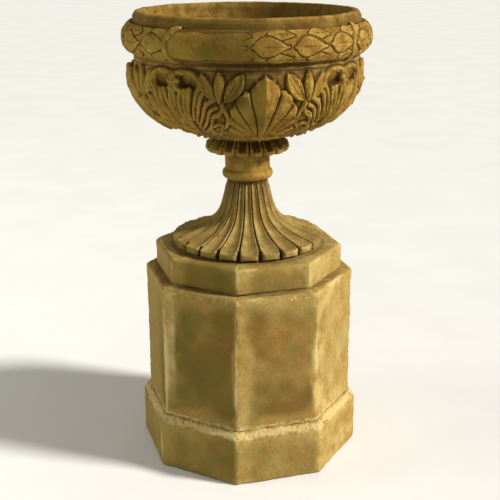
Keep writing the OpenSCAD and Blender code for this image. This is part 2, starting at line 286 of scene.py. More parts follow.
class Shader:
    """A material with a few short ways to add nodes."""

    def __init__(self, name, roughness=0.9, metallic=0.0, specular=0.5):
        self.material = bpy.data.materials.new(name)
        self.material.use_nodes = True
        self.tree = self.material.node_tree
        self.surface = self.tree.nodes["Principled BSDF"]
        self.surface.inputs["Roughness"].default_value = roughness
        self.surface.inputs["Metallic"].default_value = metallic
        self.surface.inputs["Specular IOR Level"].default_value = specular
        self.place = self.tree.nodes.new("ShaderNodeTexCoord").outputs["Object"]

    def put(self, socket, value):
        """Links a socket, or sets its own value."""
        if isinstance(value, bpy.types.NodeSocket):
            self.tree.links.new(value, socket)
        else:
            socket.default_value = value

    def noise(self, scale, detail=4.0, rough=0.6, twist=0.0, stretch=None):
        """Noise from 0 to 1 with about scale blotches to the metre."""
        node = self.tree.nodes.new("ShaderNodeTexNoise")
        node.inputs["Scale"].default_value = scale
        node.inputs["Detail"].default_value = detail
        node.inputs["Roughness"].default_value = rough
        node.inputs["Distortion"].default_value = twist
        place = self.place
        if stretch:
            mapping = self.tree.nodes.new("ShaderNodeMapping")
            mapping.inputs["Scale"].default_value = stretch
            self.put(mapping.inputs["Vector"], place)
            place = mapping.outputs["Vector"]
        self.put(node.inputs["Vector"], place)
        return node.outputs["Fac"]

    def spots(self, scale):
        """Distance from scattered points, in cells."""
        node = self.tree.nodes.new("ShaderNodeTexVoronoi")
        node.inputs["Scale"].default_value = scale
        self.put(node.inputs["Vector"], self.place)
        return node.outputs["Distance"]

    def layer(self, name):
        """A value stored on the mesh."""
        node = self.tree.nodes.new("ShaderNodeAttribute")
        node.attribute_name = name
        return node.outputs["Fac"]

    def span(self, value, start, end, low=0.0, high=1.0):
        """value from start to end becomes low to high, smoothly and no further."""
        node = self.tree.nodes.new("ShaderNodeMapRange")
        node.interpolation_type = "SMOOTHSTEP"
        self.put(node.inputs["Value"], value)
        for key, number in (("From Min", start), ("From Max", end), ("To Min", low), ("To Max", high)):
            node.inputs[key].default_value = number
        return node.outputs["Result"]

    def math(self, kind, a, b=0.0):
        """Arithmetic on two values."""
        node = self.tree.nodes.new("ShaderNodeMath")
        node.operation = kind
        self.put(node.inputs[0], a)
        self.put(node.inputs[1], b)
        return node.outputs["Value"]

    def mix(self, amount, a, b, blend="MIX"):
        """Colour a, turning to b by amount."""
        node = self.tree.nodes.new("ShaderNodeMix")
        node.data_type = "RGBA"
        node.blend_type = blend
        self.put(node.inputs[0], amount)
        self.put(node.inputs[6], a)
        self.put(node.inputs[7], b)
        return node.outputs[2]

    def facing(self, axis):
        """How far the surface faces along world axis 0, 1 or 2."""
        geometry = self.tree.nodes.new("ShaderNodeNewGeometry")
        split = self.tree.nodes.new("ShaderNodeSeparateXYZ")
        self.put(split.inputs["Vector"], geometry.outputs["Normal"])
        return split.outputs[axis]

    def colour(self, value):
        self.put(self.surface.inputs["Base Color"], value)

    def bump(self, *heights):
        """Heights as (value, strength, distance in metres), one over another."""
        last = None
        for value, strength, distance in heights:
            node = self.tree.nodes.new("ShaderNodeBump")
            node.inputs["Strength"].default_value = strength
            node.inputs["Distance"].default_value = distance
            self.put(node.inputs["Height"], value)
            if last:
                self.put(node.inputs["Normal"], last)
            last = node.outputs["Normal"]
        self.put(self.surface.inputs["Normal"], last)


def mixed(a, b, amount):
    """A colour between two."""
    return tuple(x * (1 - amount) + y * amount for x, y in zip(a, b))


DARK = linear(58, 35, 4)
MOSS = linear(106, 98, 26)
STAIN = linear(142, 97, 36)


def stone(name, tan, brown, dark, crest, moss_amount, patch=1.0):
    """Old cast stone: mottled body, dirt and painted shade in hollows, worn pale edges with a painted
    highlight, algae and painted shade on the side facing -X, away from the key light.
    """
    s = Shader(name, roughness=0.92, specular=0.2)
    broad = s.noise(5.0 * patch, 5, 0.62, 0.4)
    cloud = s.noise(17.0 * patch, 7, 0.68, 0.25)
    fleck = s.noise(110.0, 6, 0.72)
    grain = s.noise(620.0, 3, 0.6)
    streak = s.noise(26.0, 6, 0.7, 0.1, stretch=(1.0, 1.0, 0.16))
    body = s.mix(s.span(cloud, 0.36, 0.66), brown, tan)
    body = s.mix(s.span(streak, 0.48, 0.72, 0.0, 0.40), body, brown)
    body = s.mix(s.span(broad, 0.55, 0.72, 0.0, 0.55), body, STAIN)
    body = s.mix(s.span(fleck, 0.56, 0.74, 0.0, 0.40), body, crest)
    body = s.mix(s.span(fleck, 0.46, 0.30, 0.0, 0.45), body, dark)
    patchy = s.math("ADD", s.layer("stain"), s.math("MULTIPLY", s.math("SUBTRACT", cloud, 0.5), 1.3))
    soaked = s.mix(s.span(broad, 0.40, 0.62), mixed(dark, MOSS, 0.32), mixed(dark, STAIN, 0.40))
    body = s.mix(s.span(patchy, 0.05, 1.15, 0.0, 0.86), body, soaked)
    # Moss on faces turned towards -X, and painted shade on that side, away from the key light.
    moss_and_shaded_side = s.math("MULTIPLY", s.span(s.facing(0), 0.35, -0.70), s.span(cloud, 0.34, 0.58))
    low = s.math("MULTIPLY", s.span(broad, 0.50, 0.38), s.span(cloud, 0.40, 0.62, 0.0, 0.6))
    body = s.mix(s.math("MULTIPLY", s.math("MAXIMUM", moss_and_shaded_side, low), moss_amount), body, MOSS)
    # Edges and ridges turned paler: wear, and a painted highlight.
    worn = s.math("ADD", s.layer("edge"), s.math("MULTIPLY", s.math("SUBTRACT", cloud, 0.5), 1.1))
    body = s.mix(s.span(worn, 0.25, 0.90, 0.0, 0.72), body, crest)
    lime = s.math("ADD", s.layer("deposit"), s.math("MULTIPLY", s.math("SUBTRACT", fleck, 0.5), 1.8))
    body = s.mix(s.span(lime, 0.30, 0.75, 0.0, 0.70), body, crest)
    # Hollows darkened towards DARK: dirt, and painted shade where shade falls.
    dirt = s.math("ADD", s.layer("dirt_and_painted_shade"), s.math("MULTIPLY", s.math("SUBTRACT", fleck, 0.5), 0.5))
    body = s.mix(s.span(dirt, 0.10, 0.80, 0.0, 0.93), body, dark)
    s.colour(body)
    pits = s.span(s.spots(150.0), 0.10, 0.32)
    sparse = s.math("MAXIMUM", pits, s.span(cloud, 0.46, 0.60))
    s.put(s.surface.inputs["Roughness"], s.span(fleck, 0.3, 0.7, 0.97, 0.84))
    s.bump((cloud, 0.25, 0.004), (fleck, 0.60, 0.0026), (grain, 0.40, 0.0008), (sparse, 0.5, 0.0014))
    return s.material


pedestal_stone = stone("pedestal_cast_stone", linear(190, 165, 100), linear(154, 122, 60),
                       linear(66, 45, 4), linear(210, 188, 132), 0.50)
urn_stone = stone("urn_cast_stone", linear(168, 135, 62), linear(118, 86, 28), DARK,
                  linear(192, 164, 98), 0.50, 1.6)
foot_stone = stone("foot_cast_stone", linear(176, 150, 90), linear(132, 105, 52), DARK,
                   linear(196, 172, 114), 0.55, 1.4)
relief_stone = stone("relief_cast_stone", linear(178, 143, 62), linear(124, 90, 28), DARK,
                     linear(210, 180, 108), 0.45, 2.0)


def mortar_material():
    s = Shader("lime_mortar", roughness=0.95, specular=0.2)
    cloud = s.noise(70.0, 5, 0.65)
    grit = s.noise(700.0, 3, 0.6)
    base = s.mix(s.span(cloud, 0.35, 0.65), linear(126, 100, 52), linear(178, 154, 98))
    s.colour(s.mix(s.span(grit, 0.62, 0.74, 0.0, 0.5), base, linear(88, 70, 38)))
    s.bump((grit, 0.5, 0.0010), (cloud, 0.6, 0.0025))
    return s.material


def steel_material():
    s = Shader("galvanised_steel", roughness=0.42, metallic=1.0)
    cloud = s.noise(55.0, 4, 0.6)
    rust = s.noise(24.0, 6, 0.7)
    base = s.mix(s.span(cloud, 0.35, 0.65), linear(150, 152, 152), linear(186, 188, 188))
    s.colour(s.mix(s.span(rust, 0.58, 0.72, 0.0, 0.8), base, linear(112, 70, 38)))
    s.put(s.surface.inputs["Roughness"], s.span(rust, 0.5, 0.72, 0.36, 0.8))
    s.bump((s.noise(420.0, 3, 0.6), 0.2, 0.0003), (rust, 0.3, 0.0004))
    return s.material


def rubber_material():
    s = Shader("black_rubber", roughness=0.75, specular=0.4)
    cloud = s.noise(60.0, 4, 0.6)
    s.colour(s.mix(s.span(cloud, 0.35, 0.7), linear(24, 24, 24), linear(52, 50, 47)))
    s.bump((s.noise(500.0, 3, 0.6), 0.25, 0.0003))
    return s.material


mortar = mortar_material()
steel = steel_material()
rubber = rubber_material()


# ---------------------------------------------------------------- turned and eight-sided pieces
def turned(name, nodes, body, section, angles, material, shape=None, eight=None, rounding=5.0,
           wear=0.6, chips=0.0, edges=(), seed=0, dirt_and_painted_shade=None, deposit=None, stain=None, rubbed_and_painted_light=None,
           chip_range=6.0, edge_range=11.0):
    """Sweeps a closed section round the axis.

    eight is 1 where a section point follows the octagon and 0 where it is round. shape(section,
    angles, points) gives the rise along the section's normal and the dirt and painted shade. chips
    knocks back what is near the edges, which are section corners and, for an octagon, its upright corners.
    """
    rows = len(section)
    normals = section_normals(section)
    radius = np.repeat(section[:, :1], len(angles), axis=1)
    corner_gap = np.full(radius.shape, FAR)
    if eight is not None:
        many, corner_gap = octagon_radius(angles, section[:, 0], rounding)
        follow = np.asarray(eight, float)[:, None]
        radius = radius * (1 - follow) + many * follow
        corner_gap = np.where(follow > 0.5, corner_gap, FAR)
    points = around(radius, angles[None, :], section[:, 1:2])
    rise = wear * blotches(points, (0.7, 62, seed), (0.35, 17, seed + 3), (0.16, 6, seed + 5))
    gap = corner_gap
    if len(edges):
        to_edge = np.min([np.hypot(section[:, 0] - r, section[:, 1] - z) for r, z in edges], axis=0)
        gap = np.minimum(gap, to_edge[:, None])
    near = np.exp(-np.clip(gap, 0, None) / chip_range)
    broken = np.clip(0.45 + 0.9 * noise(points, 26, seed + 7) + 0.5 * noise(points, 9, seed + 9), 0, 1.4)
    rise = rise - chips * near * broken
    dirt = zeros(points)
    if shape is not None:
        extra, dirt = shape(section, angles, points)
        rise = rise + extra
    points = points + around(rise * normals[:, :1], angles[None, :], rise * normals[:, 1:2])
    # Paler near the edges: wear, and a painted highlight.
    pale = np.exp(-np.clip(gap, 0, None) / edge_range)
    pale = pale * np.clip(0.50 + 0.60 * noise(points, 62, 13), 0.05, 1)
    flat = points.reshape(-1, 3)
    values = {"edge": np.clip(pale * 1.15 - 0.2, 0, 1).ravel(), "dirt_and_painted_shade": dirt.ravel()}
    if stain is not None:
        values["stain"] = stain(flat, corner_gap.ravel())
    # More dirt and painted shade, and paler wear and painted light, where a piece asks for them.
    for key, more in (("dirt_and_painted_shade", dirt_and_painted_shade), ("edge", rubbed_and_painted_light)):
        if more is not None:
            values[key] = np.clip(values[key] + more(flat), 0, 1)
    if deposit is not None:
        values["deposit"] = deposit(flat)
    return build(name, nodes, body, flat, [ring_faces(rows, len(angles))], values, material)


def front(p, centre, spread):
    """1 where the surface faces that many degrees from the front, fading over spread degrees."""
    off = (bearing(p) - centre + 180) % 360 - 180
    return np.exp(-(off / spread) ** 4)


def across_face(p):
    """Degrees from the middle of the octagon's nearest face."""
    return (bearing(p) + 22.5) % 45 - 22.5


def panel_stain_and_shade(low, high, most):
    """Dark staining on each face, strongest towards the front and front-left, where it is also painted shade
    on the faces turned from the key light, with a pale margin on its left side.
    """
    def stain(p, gap):
        wander = blotches(p, (16, 75, 61), (8, 24, 62))
        left = ramp(across_face(p), 4, -4)
        inside = ramp(gap + wander * left + 0.5 * wander, -4, 16 + 48 * left)
        upright = ramp(p[:, 2] + 1.3 * wander - low, -6, 40) * ramp(high - p[:, 2] + wander, -4, 55)
        # Heaviest on the front-left face, away from the key light: stain and painted shade.
        facing = 0.20 + 0.80 * np.maximum(front(p, -45, 32), 0.78 * front(p, 0, 30))
        patches = 0.90 + 0.28 * noise(p, 95, 63) + 0.24 * noise(p, 34, 64)
        return np.clip(most * inside * (0.35 + 0.65 * upright) * facing * patches, 0, 1)
    return stain


# Half-widths, and levels above the ground
BASE_HALF = 285.5
BASE_WALL = 219.5
LEDGE = 151
DIE_HALF = 268.5
DIE_TOP = 521
BLOCK_HALF = 240.5
BLOCK_LOW = 524
BLOCK_TOP = 592
FOOT_LOW = 594
TUBE_HOLE = 12.5


def base_course():
    section = outline([(BASE_WALL, 0, 0, 12), (BASE_HALF, 0, 6, 4), (BASE_HALF, 134, 9, 3),
                       (270, LEDGE, 6, 3), (262, LEDGE, 0, 8), (BASE_WALL, 150, 0, 14)])

    def under_splay(p):
        splay = bell(p[:, 2] - 141 + 5 * noise(p, 34, 71), 0, 11)
        return np.clip(0.72 * splay + 0.35 * np.exp(-p[:, 2] / 14), 0, 1)

    def darker_low_down(p):
        # Darker towards the ground.
        return 0.45 * np.exp(-p[:, 2] / 7)

    def lumps(section, angles, points):
        band = (ramp(section[:, 1], 112, 136) * ramp(section[:, 0], 258, 266))[:, None]
        return band * blotches(points, (1.6, 24, 73), (1.1, 9, 74), (0.6, 4, 75)), zeros(points)

    turned("base_course_stone", ["base_course"], "pedestal", section,
           octagon_angles(BASE_HALF, 3.6, 1.6, 16), pedestal_stone,
           eight=np.ones(len(section)), rounding=9, wear=1.3, chips=2.8,
           edges=((BASE_HALF, 134), (BASE_HALF, 0)), seed=2, shape=lumps, deposit=under_splay,
           dirt_and_painted_shade=darker_low_down, stain=panel_stain_and_shade(-30, 140, 0.80), edge_range=9)


def die():
    hole = 42
    section = outline([(221, LEDGE, 0, 14), (267.5, LEDGE, 1.2, 3.6), (DIE_HALF, DIE_TOP, 7, 6),
                       (hole, DIE_TOP, 3, 6), (hole, 476, 2, 10), (223.5, 476, 0, 14)])
    follow = np.array([1.0 if r > 150 else max(0.0, (r - hole) / 108) for r, z in section])

    def ledge(p):
        low = 0.55 * bell(p[:, 2] - 156 + 4 * noise(p, 30, 77), 0, 9)
        return low + 0.35 * bell(p[:, 2], 512, 12)

    def margin(p):
        off = across_face(p) + 2.5 * noise(p, 60, 79)
        return 0.62 * ramp(off, -12, -17) * front(p, -52, 20) * ramp(p[:, 2], 165, 260)

    def joint_dirt(p):
        return 0.45 * np.exp(-np.abs(p[:, 2] - DIE_TOP) / 2) * (np.hypot(p[:, 0], p[:, 1]) < 262)

    turned("die_stone", ["die"], "pedestal", section, octagon_angles(268, 3.9, 1.7, 15),
           pedestal_stone, eight=follow, rounding=8, wear=1.5, chips=3.0,
           edges=((DIE_HALF, DIE_TOP),), seed=5, deposit=ledge, dirt_and_painted_shade=joint_dirt,
           stain=panel_stain_and_shade(160, 508, 1.12), edge_range=11, rubbed_and_painted_light=margin)


def base_block():
    hole = 38
    section = outline([(hole, BLOCK_LOW, 2, 8), (BLOCK_HALF, BLOCK_LOW, 4, 3),
                       (BLOCK_HALF, BLOCK_TOP, 9, 6), (TUBE_HOLE, BLOCK_TOP, 2, 8),
                       (TUBE_HOLE, 548, 1, 8), (hole, 548, 2, 8)])
    follow = np.array([1.0 if r > 120 else max(0.0, (r - hole) / 82) for r, z in section])

    def top_dirt(p):
        r = np.hypot(p[:, 0], p[:, 1])
        ring = 0.55 * np.exp(-np.abs(r - 208) / 9) * (p[:, 2] > 585)
        return ring + 0.4 * np.exp(-np.abs(p[:, 2] - BLOCK_LOW) / 3)

    turned("base_block_stone", ["base_block"], "urn", section,
           octagon_angles(BLOCK_HALF, 3.6, 1.6, 14), pedestal_stone, eight=follow,
           rounding=9, wear=1.3, chips=2.4, edges=((BLOCK_HALF, BLOCK_TOP),), seed=8,
           dirt_and_painted_shade=top_dirt, stain=panel_stain_and_shade(490, 610, 0.92), edge_range=9)


def bed(name, node, body, half, low, high, squeeze, eight):
    """A thin mortar joint whose edge wanders."""
    inner = half * 0.86 if eight else half * 0.25
    section = outline([(inner, low, 0, 20), (half, low, 0.8, 2), (half, high, 0.8, 20),
                       (inner, high, 0, 2)])

    def wander(section, angles, points):
        out = ramp(section[:, 0], half - 6, half - 1)[:, None]
        rough = blotches(points, (1, 26, 4), (0.5, 13, 5), (0.25, 6.5, 6))
        return out * (squeeze * rough), zeros(points)

    angles = octagon_angles(half, 5, 3, 9) if eight else even(180)
    turned(name, [node], body, section, angles, mortar, shape=wander,
           eight=np.ones(len(section)) if eight else None, rounding=6, wear=0.1, chips=0.0)


# ---------------------------------------------------------------- foot, neck and collar
TONGUES = 22
TONGUE_START = math.radians(-23.3)
FOOT_R = 207
FOOT_END = 616.0
FLUTE_TOP = 770
NECK_R = 61.5
COLLAR_PETALS = 18
COLLAR_START = math.radians(-13.4)
COLLAR_TOP = 893.0


def lobe(angles, count, start):
    """Place across each of count equal lobes, -1 to 1, with the gaps between lobes at -1 and 1."""
    return ((angles - start) * count / math.tau % 1) * 2 - 1


def lobe_angles(count, start, each):
    """Column angles with columns closer together beside the gaps."""
    t = (np.arange(each) + 0.5) / each * 2 - 1
    t = 0.55 * t + 0.45 * np.sin(t * math.pi / 2)
    return np.sort(np.concatenate([start + (k + (t + 1) / 2) * math.tau / count for k in range(count)]))


def flare(u):
    """The foot's radius from its spread, at 0, to the neck, at 1."""
    return NECK_R + 30 * (1 - u) + 115.5 * (1 - u) ** 4.4


def flutes(section, angles):
    """Tongues with raised rims and narrow gaps; returns the rise, the dirt and painted shade in the gaps and
    dishes, and the gaps.
    """
    v = np.abs(lobe(angles, TONGUES, TONGUE_START))[None, :]
    r = section[:, :1]
    pitch = np.clip(r, 54, FOOT_R) * math.tau / TONGUES
    size = np.clip(pitch / 59, 0.30, 1.0)
    end = ramp(r, 182, 205)
    edge_mm = (1 - v) * pitch / 2
    gap = 0.9 + 0.7 * size + 2.0 * end
    groove = 1 - ramp(edge_mm, gap * 0.5, gap * 1.8)
    rim = bell(edge_mm - gap * 1.8 - 2.6 * size, 0, 2.9 * size)
    dish = 1 - ramp(v, 0.10, 0.84)
    depth = 4.0 + 9.0 * size + 6.0 * end
    fade = ramp(FLUTE_TOP - section[:, 1:2], 0, 7)
    rise = (-depth * groove + 2.2 * size * rim - (2.2 + 3.0 * size) * dish * (1 - 0.4 * end)) * fade
    # Dark in the gaps and dishes: dirt and painted shade.
    return rise, np.clip(groove * 1.1 + 0.16 * dish, 0, 1) * fade, groove


def fluted_foot():
    u = np.concatenate([np.linspace(0.004, 0.12, 14), np.linspace(0.14, 1.0, 52)])
    side = curve(flare(u), FOOT_END + (743 - FOOT_END) * u)
    rise = np.arange(745, 771, 2.0)
    upper = curve(NECK_R - 6.5 * ramp(rise, 743, 768), rise)
    section = outline([(TUBE_HOLE, FOOT_LOW, 0, 16), (196, FOOT_LOW, 0, 2.6), (FOOT_R, 601, 3, 2.6),
                       (FOOT_R, FOOT_END, 5, 2.5)]
                      + side[3:] + upper + [(50, 771, 0, 14), (TUBE_HOLE, 771, 0, 14)])
    angles = lobe_angles(TONGUES, TONGUE_START, 30)

    def tongues(section, angles, points):
        rise, dark, groove = flutes(section, angles)
        v = np.abs(lobe(angles, TONGUES, TONGUE_START))[None, :]
        r = section[:, :1]
        z = section[:, 1:2]
        face = -17 * groove - 11 * ramp(v, 0.45, 1.0) ** 2
        rise = rise - 5 * ramp(r, 188, FOOT_R) * ramp(v, 0.5, 1) ** 2
        rise = np.where((r > 203.5) & (z < FOOT_END - 1), face, rise)
        visible = (r > 51) & (z > 595)
        return np.where(visible, rise, 0.0), dark * visible

    def seat(p):
        # Dark joint at the foot's base; above it, painted shade growing towards the neck and a painted
        # shadow band under the bead.
        z = p[:, 2]
        low = 0.4 * np.exp(-np.abs(z - FOOT_LOW) / 4)
        return low + 0.25 * ramp(z, 690, 750) + 0.4 * ramp(z, 760, 770)

    turned("fluted_foot_stone", ["fluted_foot"], "urn", section, angles, foot_stone,
           shape=tongues, wear=0.9, chips=1.6, edges=((FOOT_R, FOOT_END), (FOOT_R, FOOT_LOW)),
           seed=12, dirt_and_painted_shade=seat, chip_range=4)


def neck_ring():
    low = 766
    high = 848
    z = np.linspace(low, high, 52)
    bead = 8.5 * np.sqrt(np.clip(1 - ((z - 788) / 11.5) ** 2, 0, 1))
    shaft = np.where(z < 778, 52 + 8.5 * ramp(z, 767, 778), 60.5)
    swell = 6 * ramp(z, 832, high)
    side = list(zip(shaft + bead + swell, z))
    section = np.array([(TUBE_HOLE, low)] + side + [(TUBE_HOLE, high)])

    def bead_and_collar_shade(section, angles, points):
        # Painted shadow lines below and above the bead, and painted shade growing towards the collar
        # overhead.
        z = points[..., 2]
        ring = bell(z, 772, 4.0) + 0.6 * bell(z, 801, 2.5)
        shade = 0.25 * ramp(z, 800, high) + 0.4 * np.exp(-(high - z) / 9)
        return zeros(points), np.clip(0.6 * ring + shade, 0, 1)

    turned("neck_stone", ["neck_ring"], "urn", section, even(300), urn_stone,
           shape=bead_and_collar_shade, wear=0.8, seed=15)


def petal_collar():
    rim = [(66, 847), (80, 848), (94, 849), (104, 850.5), (110, 853.5), (113, 859), (113, 866),
           (109.5, 872), (104, 876), (99, 882), (95, 888), (92, COLLAR_TOP)]
    section = np.vstack([[(TUBE_HOLE, 838), (58, 838), (60, 844)], spline(rim, 6),
                         [(40, COLLAR_TOP), (TUBE_HOLE, COLLAR_TOP)]])
    angles = lobe_angles(COLLAR_PETALS, COLLAR_START, 30)

    def petals(section, angles, points):
        v = np.abs(lobe(angles, COLLAR_PETALS, COLLAR_START))[None, :]
        r = section[:, :1]
        z = section[:, 1:2]
        pitch = np.clip(r, 60, 114) * math.tau / COLLAR_PETALS
        edge_mm = (1 - v) * pitch / 2
        out = ramp(r, 70, 98)
        above = ramp(z - 7 * v ** 2, 862, 868)
        groove = 1 - ramp(edge_mm, 0.3, 2.4)
        lip = bell(edge_mm, 4.6, 2.6)
        hollow = (1 - ramp(v, 0.30, 0.80)) * above
        rib = (bell(v, 0, 0.10) + 0.8 * bell(v, 0.36, 0.08)) * above
        rise = out * (-11 * groove + 2.2 * lip - 6.0 * hollow + 3.0 * rib)
        rise = rise - 9 * out * (1 - above) * ramp(v, 0.30, 1.05) ** 2
        rise = rise - 12 * out * (z < 853.5) * v ** 2.4
        # Painted shade: dark in the gaps and petal hollows, kept lighter on the ribs, and darker on the top,
        # which the bowl shades.
        dark = np.clip(1.1 * groove * out + 0.62 * hollow - 0.42 * rib + 0.35 * ramp(z, 872, 886), 0, 1)
        # The underside of the collar darkened as painted shade.
        under = 0.5 * (z < 851) * (r < 108)
        return rise * (z < 892), np.clip(dark + under, 0, 1) * (r > 58)

    turned("petal_collar_stone", ["petal_collar"], "urn", section, angles, urn_stone,
           shape=petals, wear=0.7, chips=0.0, seed=18)


# ---------------------------------------------------------------- relief drawn on a canvas round the bowl
BELLY = 298.0      # the bowl's radius at its widest
BELLY_Z = 1060.0   # the level of that
BELLY_H = 178.0    # how far the bowl's curve drops below it
RELIEF_LOW = 899
RELIEF_TOP = 1114
TURN = math.radians(-8.0)   # where the front palmette stands
STEP = 0.2                  # degrees from column to column
PERIOD = int(round(90 / STEP))


def bowl_radius(z):
    z = np.asarray(z, float)
    belly = BELLY * np.sqrt(np.clip(1 - (np.clip(BELLY_Z - z, 0, BELLY_H) / BELLY_H) ** 2, 0, 1))
    return belly - 2.0 * ramp(z, 1083, 1090)


fine_z = np.linspace(RELIEF_LOW, RELIEF_TOP, 4001)
fine_r = bowl_radius(fine_z)
fine_s = distances(fine_r, fine_z)
ROW_S = np.arange(0, fine_s[-1], 1.12)
ROW_Z = np.interp(ROW_S, fine_s, fine_z)
ROW_R = np.interp(ROW_S, fine_s, fine_r)
ROW_N = line_normals(ROW_R, ROW_Z)


class Canvas:
    """Heights over a patch of a surface of revolution, drawn with strokes and blobs."""

    def __init__(self, half_degrees, rows_s, rows_z, rows_r, step=STEP):
        self.columns = int(round(half_degrees / step))
        self.a = np.radians(np.arange(-self.columns, self.columns + 1) * step)
        self.s = rows_s
        self.z = rows_z
        self.r = rows_r
        self.height = np.full((len(rows_s), len(self.a)), EMPTY)

    def along(self, path):
        """(degrees, z) points as (radians, distance along the section)."""
        path = np.array(path, float)
        return np.stack([np.radians(path[:, 0]), np.interp(path[:, 1], self.z, self.s)], axis=1)

    def stroke(self, path, width, form, steep=2.6, moat=0.0, bed=1.0):
        """Draws along a path; width(t) is the half-width and form(t, v) the height at v from -1 to 1.

        What lies within moat of the stroke's edge is first cut down to height bed.
        """
        line = spline(self.along(path))
        reach = 1.3 * float(np.max(width(np.linspace(0, 1, 20)))) + 4
        low, high = line[:, 1].min() - reach, line[:, 1].max() + reach
        rows = np.flatnonzero((self.s > low) & (self.s < high))
        if not len(rows):
            return
        scale = max(float(self.r[rows].min()), 60.0)
        columns = np.flatnonzero((self.a > line[:, 0].min() - reach / scale)
                                 & (self.a < line[:, 0].max() + reach / scale))
        if not len(columns):
            return
        r = self.r[rows][:, None]
        s = self.s[rows][:, None]
        a = self.a[columns][None, :]
        best = np.full((len(rows), len(columns)), 1e9)
        where = np.zeros(best.shape)
        side = np.ones(best.shape)
        lengths = np.hypot(np.diff(line[:, 0]) * scale, np.diff(line[:, 1]))
        total = np.concatenate([[0], np.cumsum(lengths)]) / max(lengths.sum(), 1e-6)
        for k in range(len(line) - 1):
            ax = (line[k, 0] - a) * r
            ay = line[k, 1] - s
            bx = (line[k + 1, 0] - line[k, 0]) * r
            by = line[k + 1, 1] - line[k, 1]
            t = np.clip(-(ax * bx + ay * by) / np.maximum(bx * bx + by * by, 1e-9), 0, 1)
            dx = ax + t * bx
            dy = ay + t * by
            d = np.hypot(dx, dy)
            closer = d < best
            best = np.where(closer, d, best)
            where = np.where(closer, total[k] + t * (total[k + 1] - total[k]), where)
            side = np.where(closer, np.sign(bx * dy - by * dx), side)
        w = np.maximum(width(where), 0.35)
        v = np.clip(best / w, 0, 1) * side
        h = form(where, v) - steep * np.clip(best - w, 0, None)
        patch = np.ix_(rows, columns)
        if moat:
            beside = best < w + moat
            self.height[patch] = np.where(beside, np.minimum(self.height[patch], bed), self.height[patch])
        self.height[patch] = np.maximum(self.height[patch], h)

    def both(self, path, width, form, steep=2.6, moat=0.0, bed=1.0):
        """The stroke and its mirror image."""
        self.stroke(path, width, form, steep, moat, bed)
        self.stroke([(-a, z) for a, z in path], width, lambda t, v: form(t, -v), steep, moat, bed)

    def ball(self, degrees, z, radius, height):
        """A round boss."""
        here = self.along([(degrees, z)])[0]
        d = np.hypot((self.a[None, :] - here[0]) * self.r[:, None], self.s[:, None] - here[1]) / radius
        h = np.where(d < 1, height * np.sqrt(np.clip(1 - d * d, 0, 1)) + 0.5, 0.5 - 3 * radius * (d - 1))
        self.height = np.maximum(self.height, h)

    def soften(self, amount=1):
        """Rounds everything off a little, as weather does."""
        pad = np.pad(self.height, amount, mode="edge")
        rows, columns = self.height.shape
        total = np.zeros(self.height.shape)
        weight = 0
        for i in range(-amount, amount + 1):
            for j in range(-amount, amount + 1):
                k = 1.0 / (1 + i * i + j * j)
                total += k * pad[amount + i:amount + i + rows, amount + j:amount + j + columns]
                weight += k
        self.height = total / weight


def taper(most, rise=0.6, least=0.08):
    """A half-width that grows from the root to a full round end."""
    def width(t):
        return most * np.maximum(np.clip(np.asarray(t, float) / rise, 0, 1) ** 0.9, least)
    return width


def leaf_width(most, peak=0.5, least=0.05):
    """A half-width pointed at both ends."""
    def width(t):
        t = np.clip(np.asarray(t, float), 0, 1)
        bend = math.log(0.5) / math.log(peak)
        return most * np.maximum(np.sin(math.pi * t ** bend) ** 0.72, least)
    return width


def even_width(most, end=0.5):
    """A half-width that thins steadily to the end."""
    def width(t):
        return most * (1 - (1 - end) * np.asarray(t, float))
    return width


def ridge(height):
    """A rounded rib."""
    def form(t, v):
        crown = 0.55 + 0.45 * np.sin(math.pi * np.clip(t, 0.05, 0.95))
        return height * np.sqrt(np.clip(1 - 0.8 * v * v, 0, 1)) * crown
    return form


def dished(height, hollow, rim_at=0.74, slope=0.0, tilt=0.0):
    """A petal with a raised rim round a hollow, lifted by slope to its end and by tilt to its inner side."""
    def form(t, v):
        side = np.abs(v)
        rim = ramp(side, 0.10, rim_at)
        over = ramp(side, rim_at + 0.06, 1.0)
        return height + slope * t - tilt * v - hollow * (1 - rim) - 0.42 * height * over
    return form


def veined(height, hollow, veins, depth=0.8):
    """A hollow leaf with a midrib and slanting veins."""
    def form(t, v):
        side = np.abs(v)
        rim = ramp(side, 0.15, 0.78)
        over = ramp(side, 0.84, 1.0)
        mid = bell(v, 0, 0.13)
        lines = np.cos((t * veins - side * 1.2) * math.tau) * side * (1 - over)
        return height - hollow * (1 - rim) + 0.55 * hollow * mid - 0.40 * height * over + depth * lines
    return form


def keeled(height, drop, veins):
    """A leaf folded along its middle, with faint slanting veins."""
    def form(t, v):
        side = np.abs(v)
        lines = np.cos((t * veins - side * 1.2) * math.tau)
        return height - drop * side + 0.5 * lines * side - 0.35 * height * ramp(side, 0.86, 1.0)
    return form


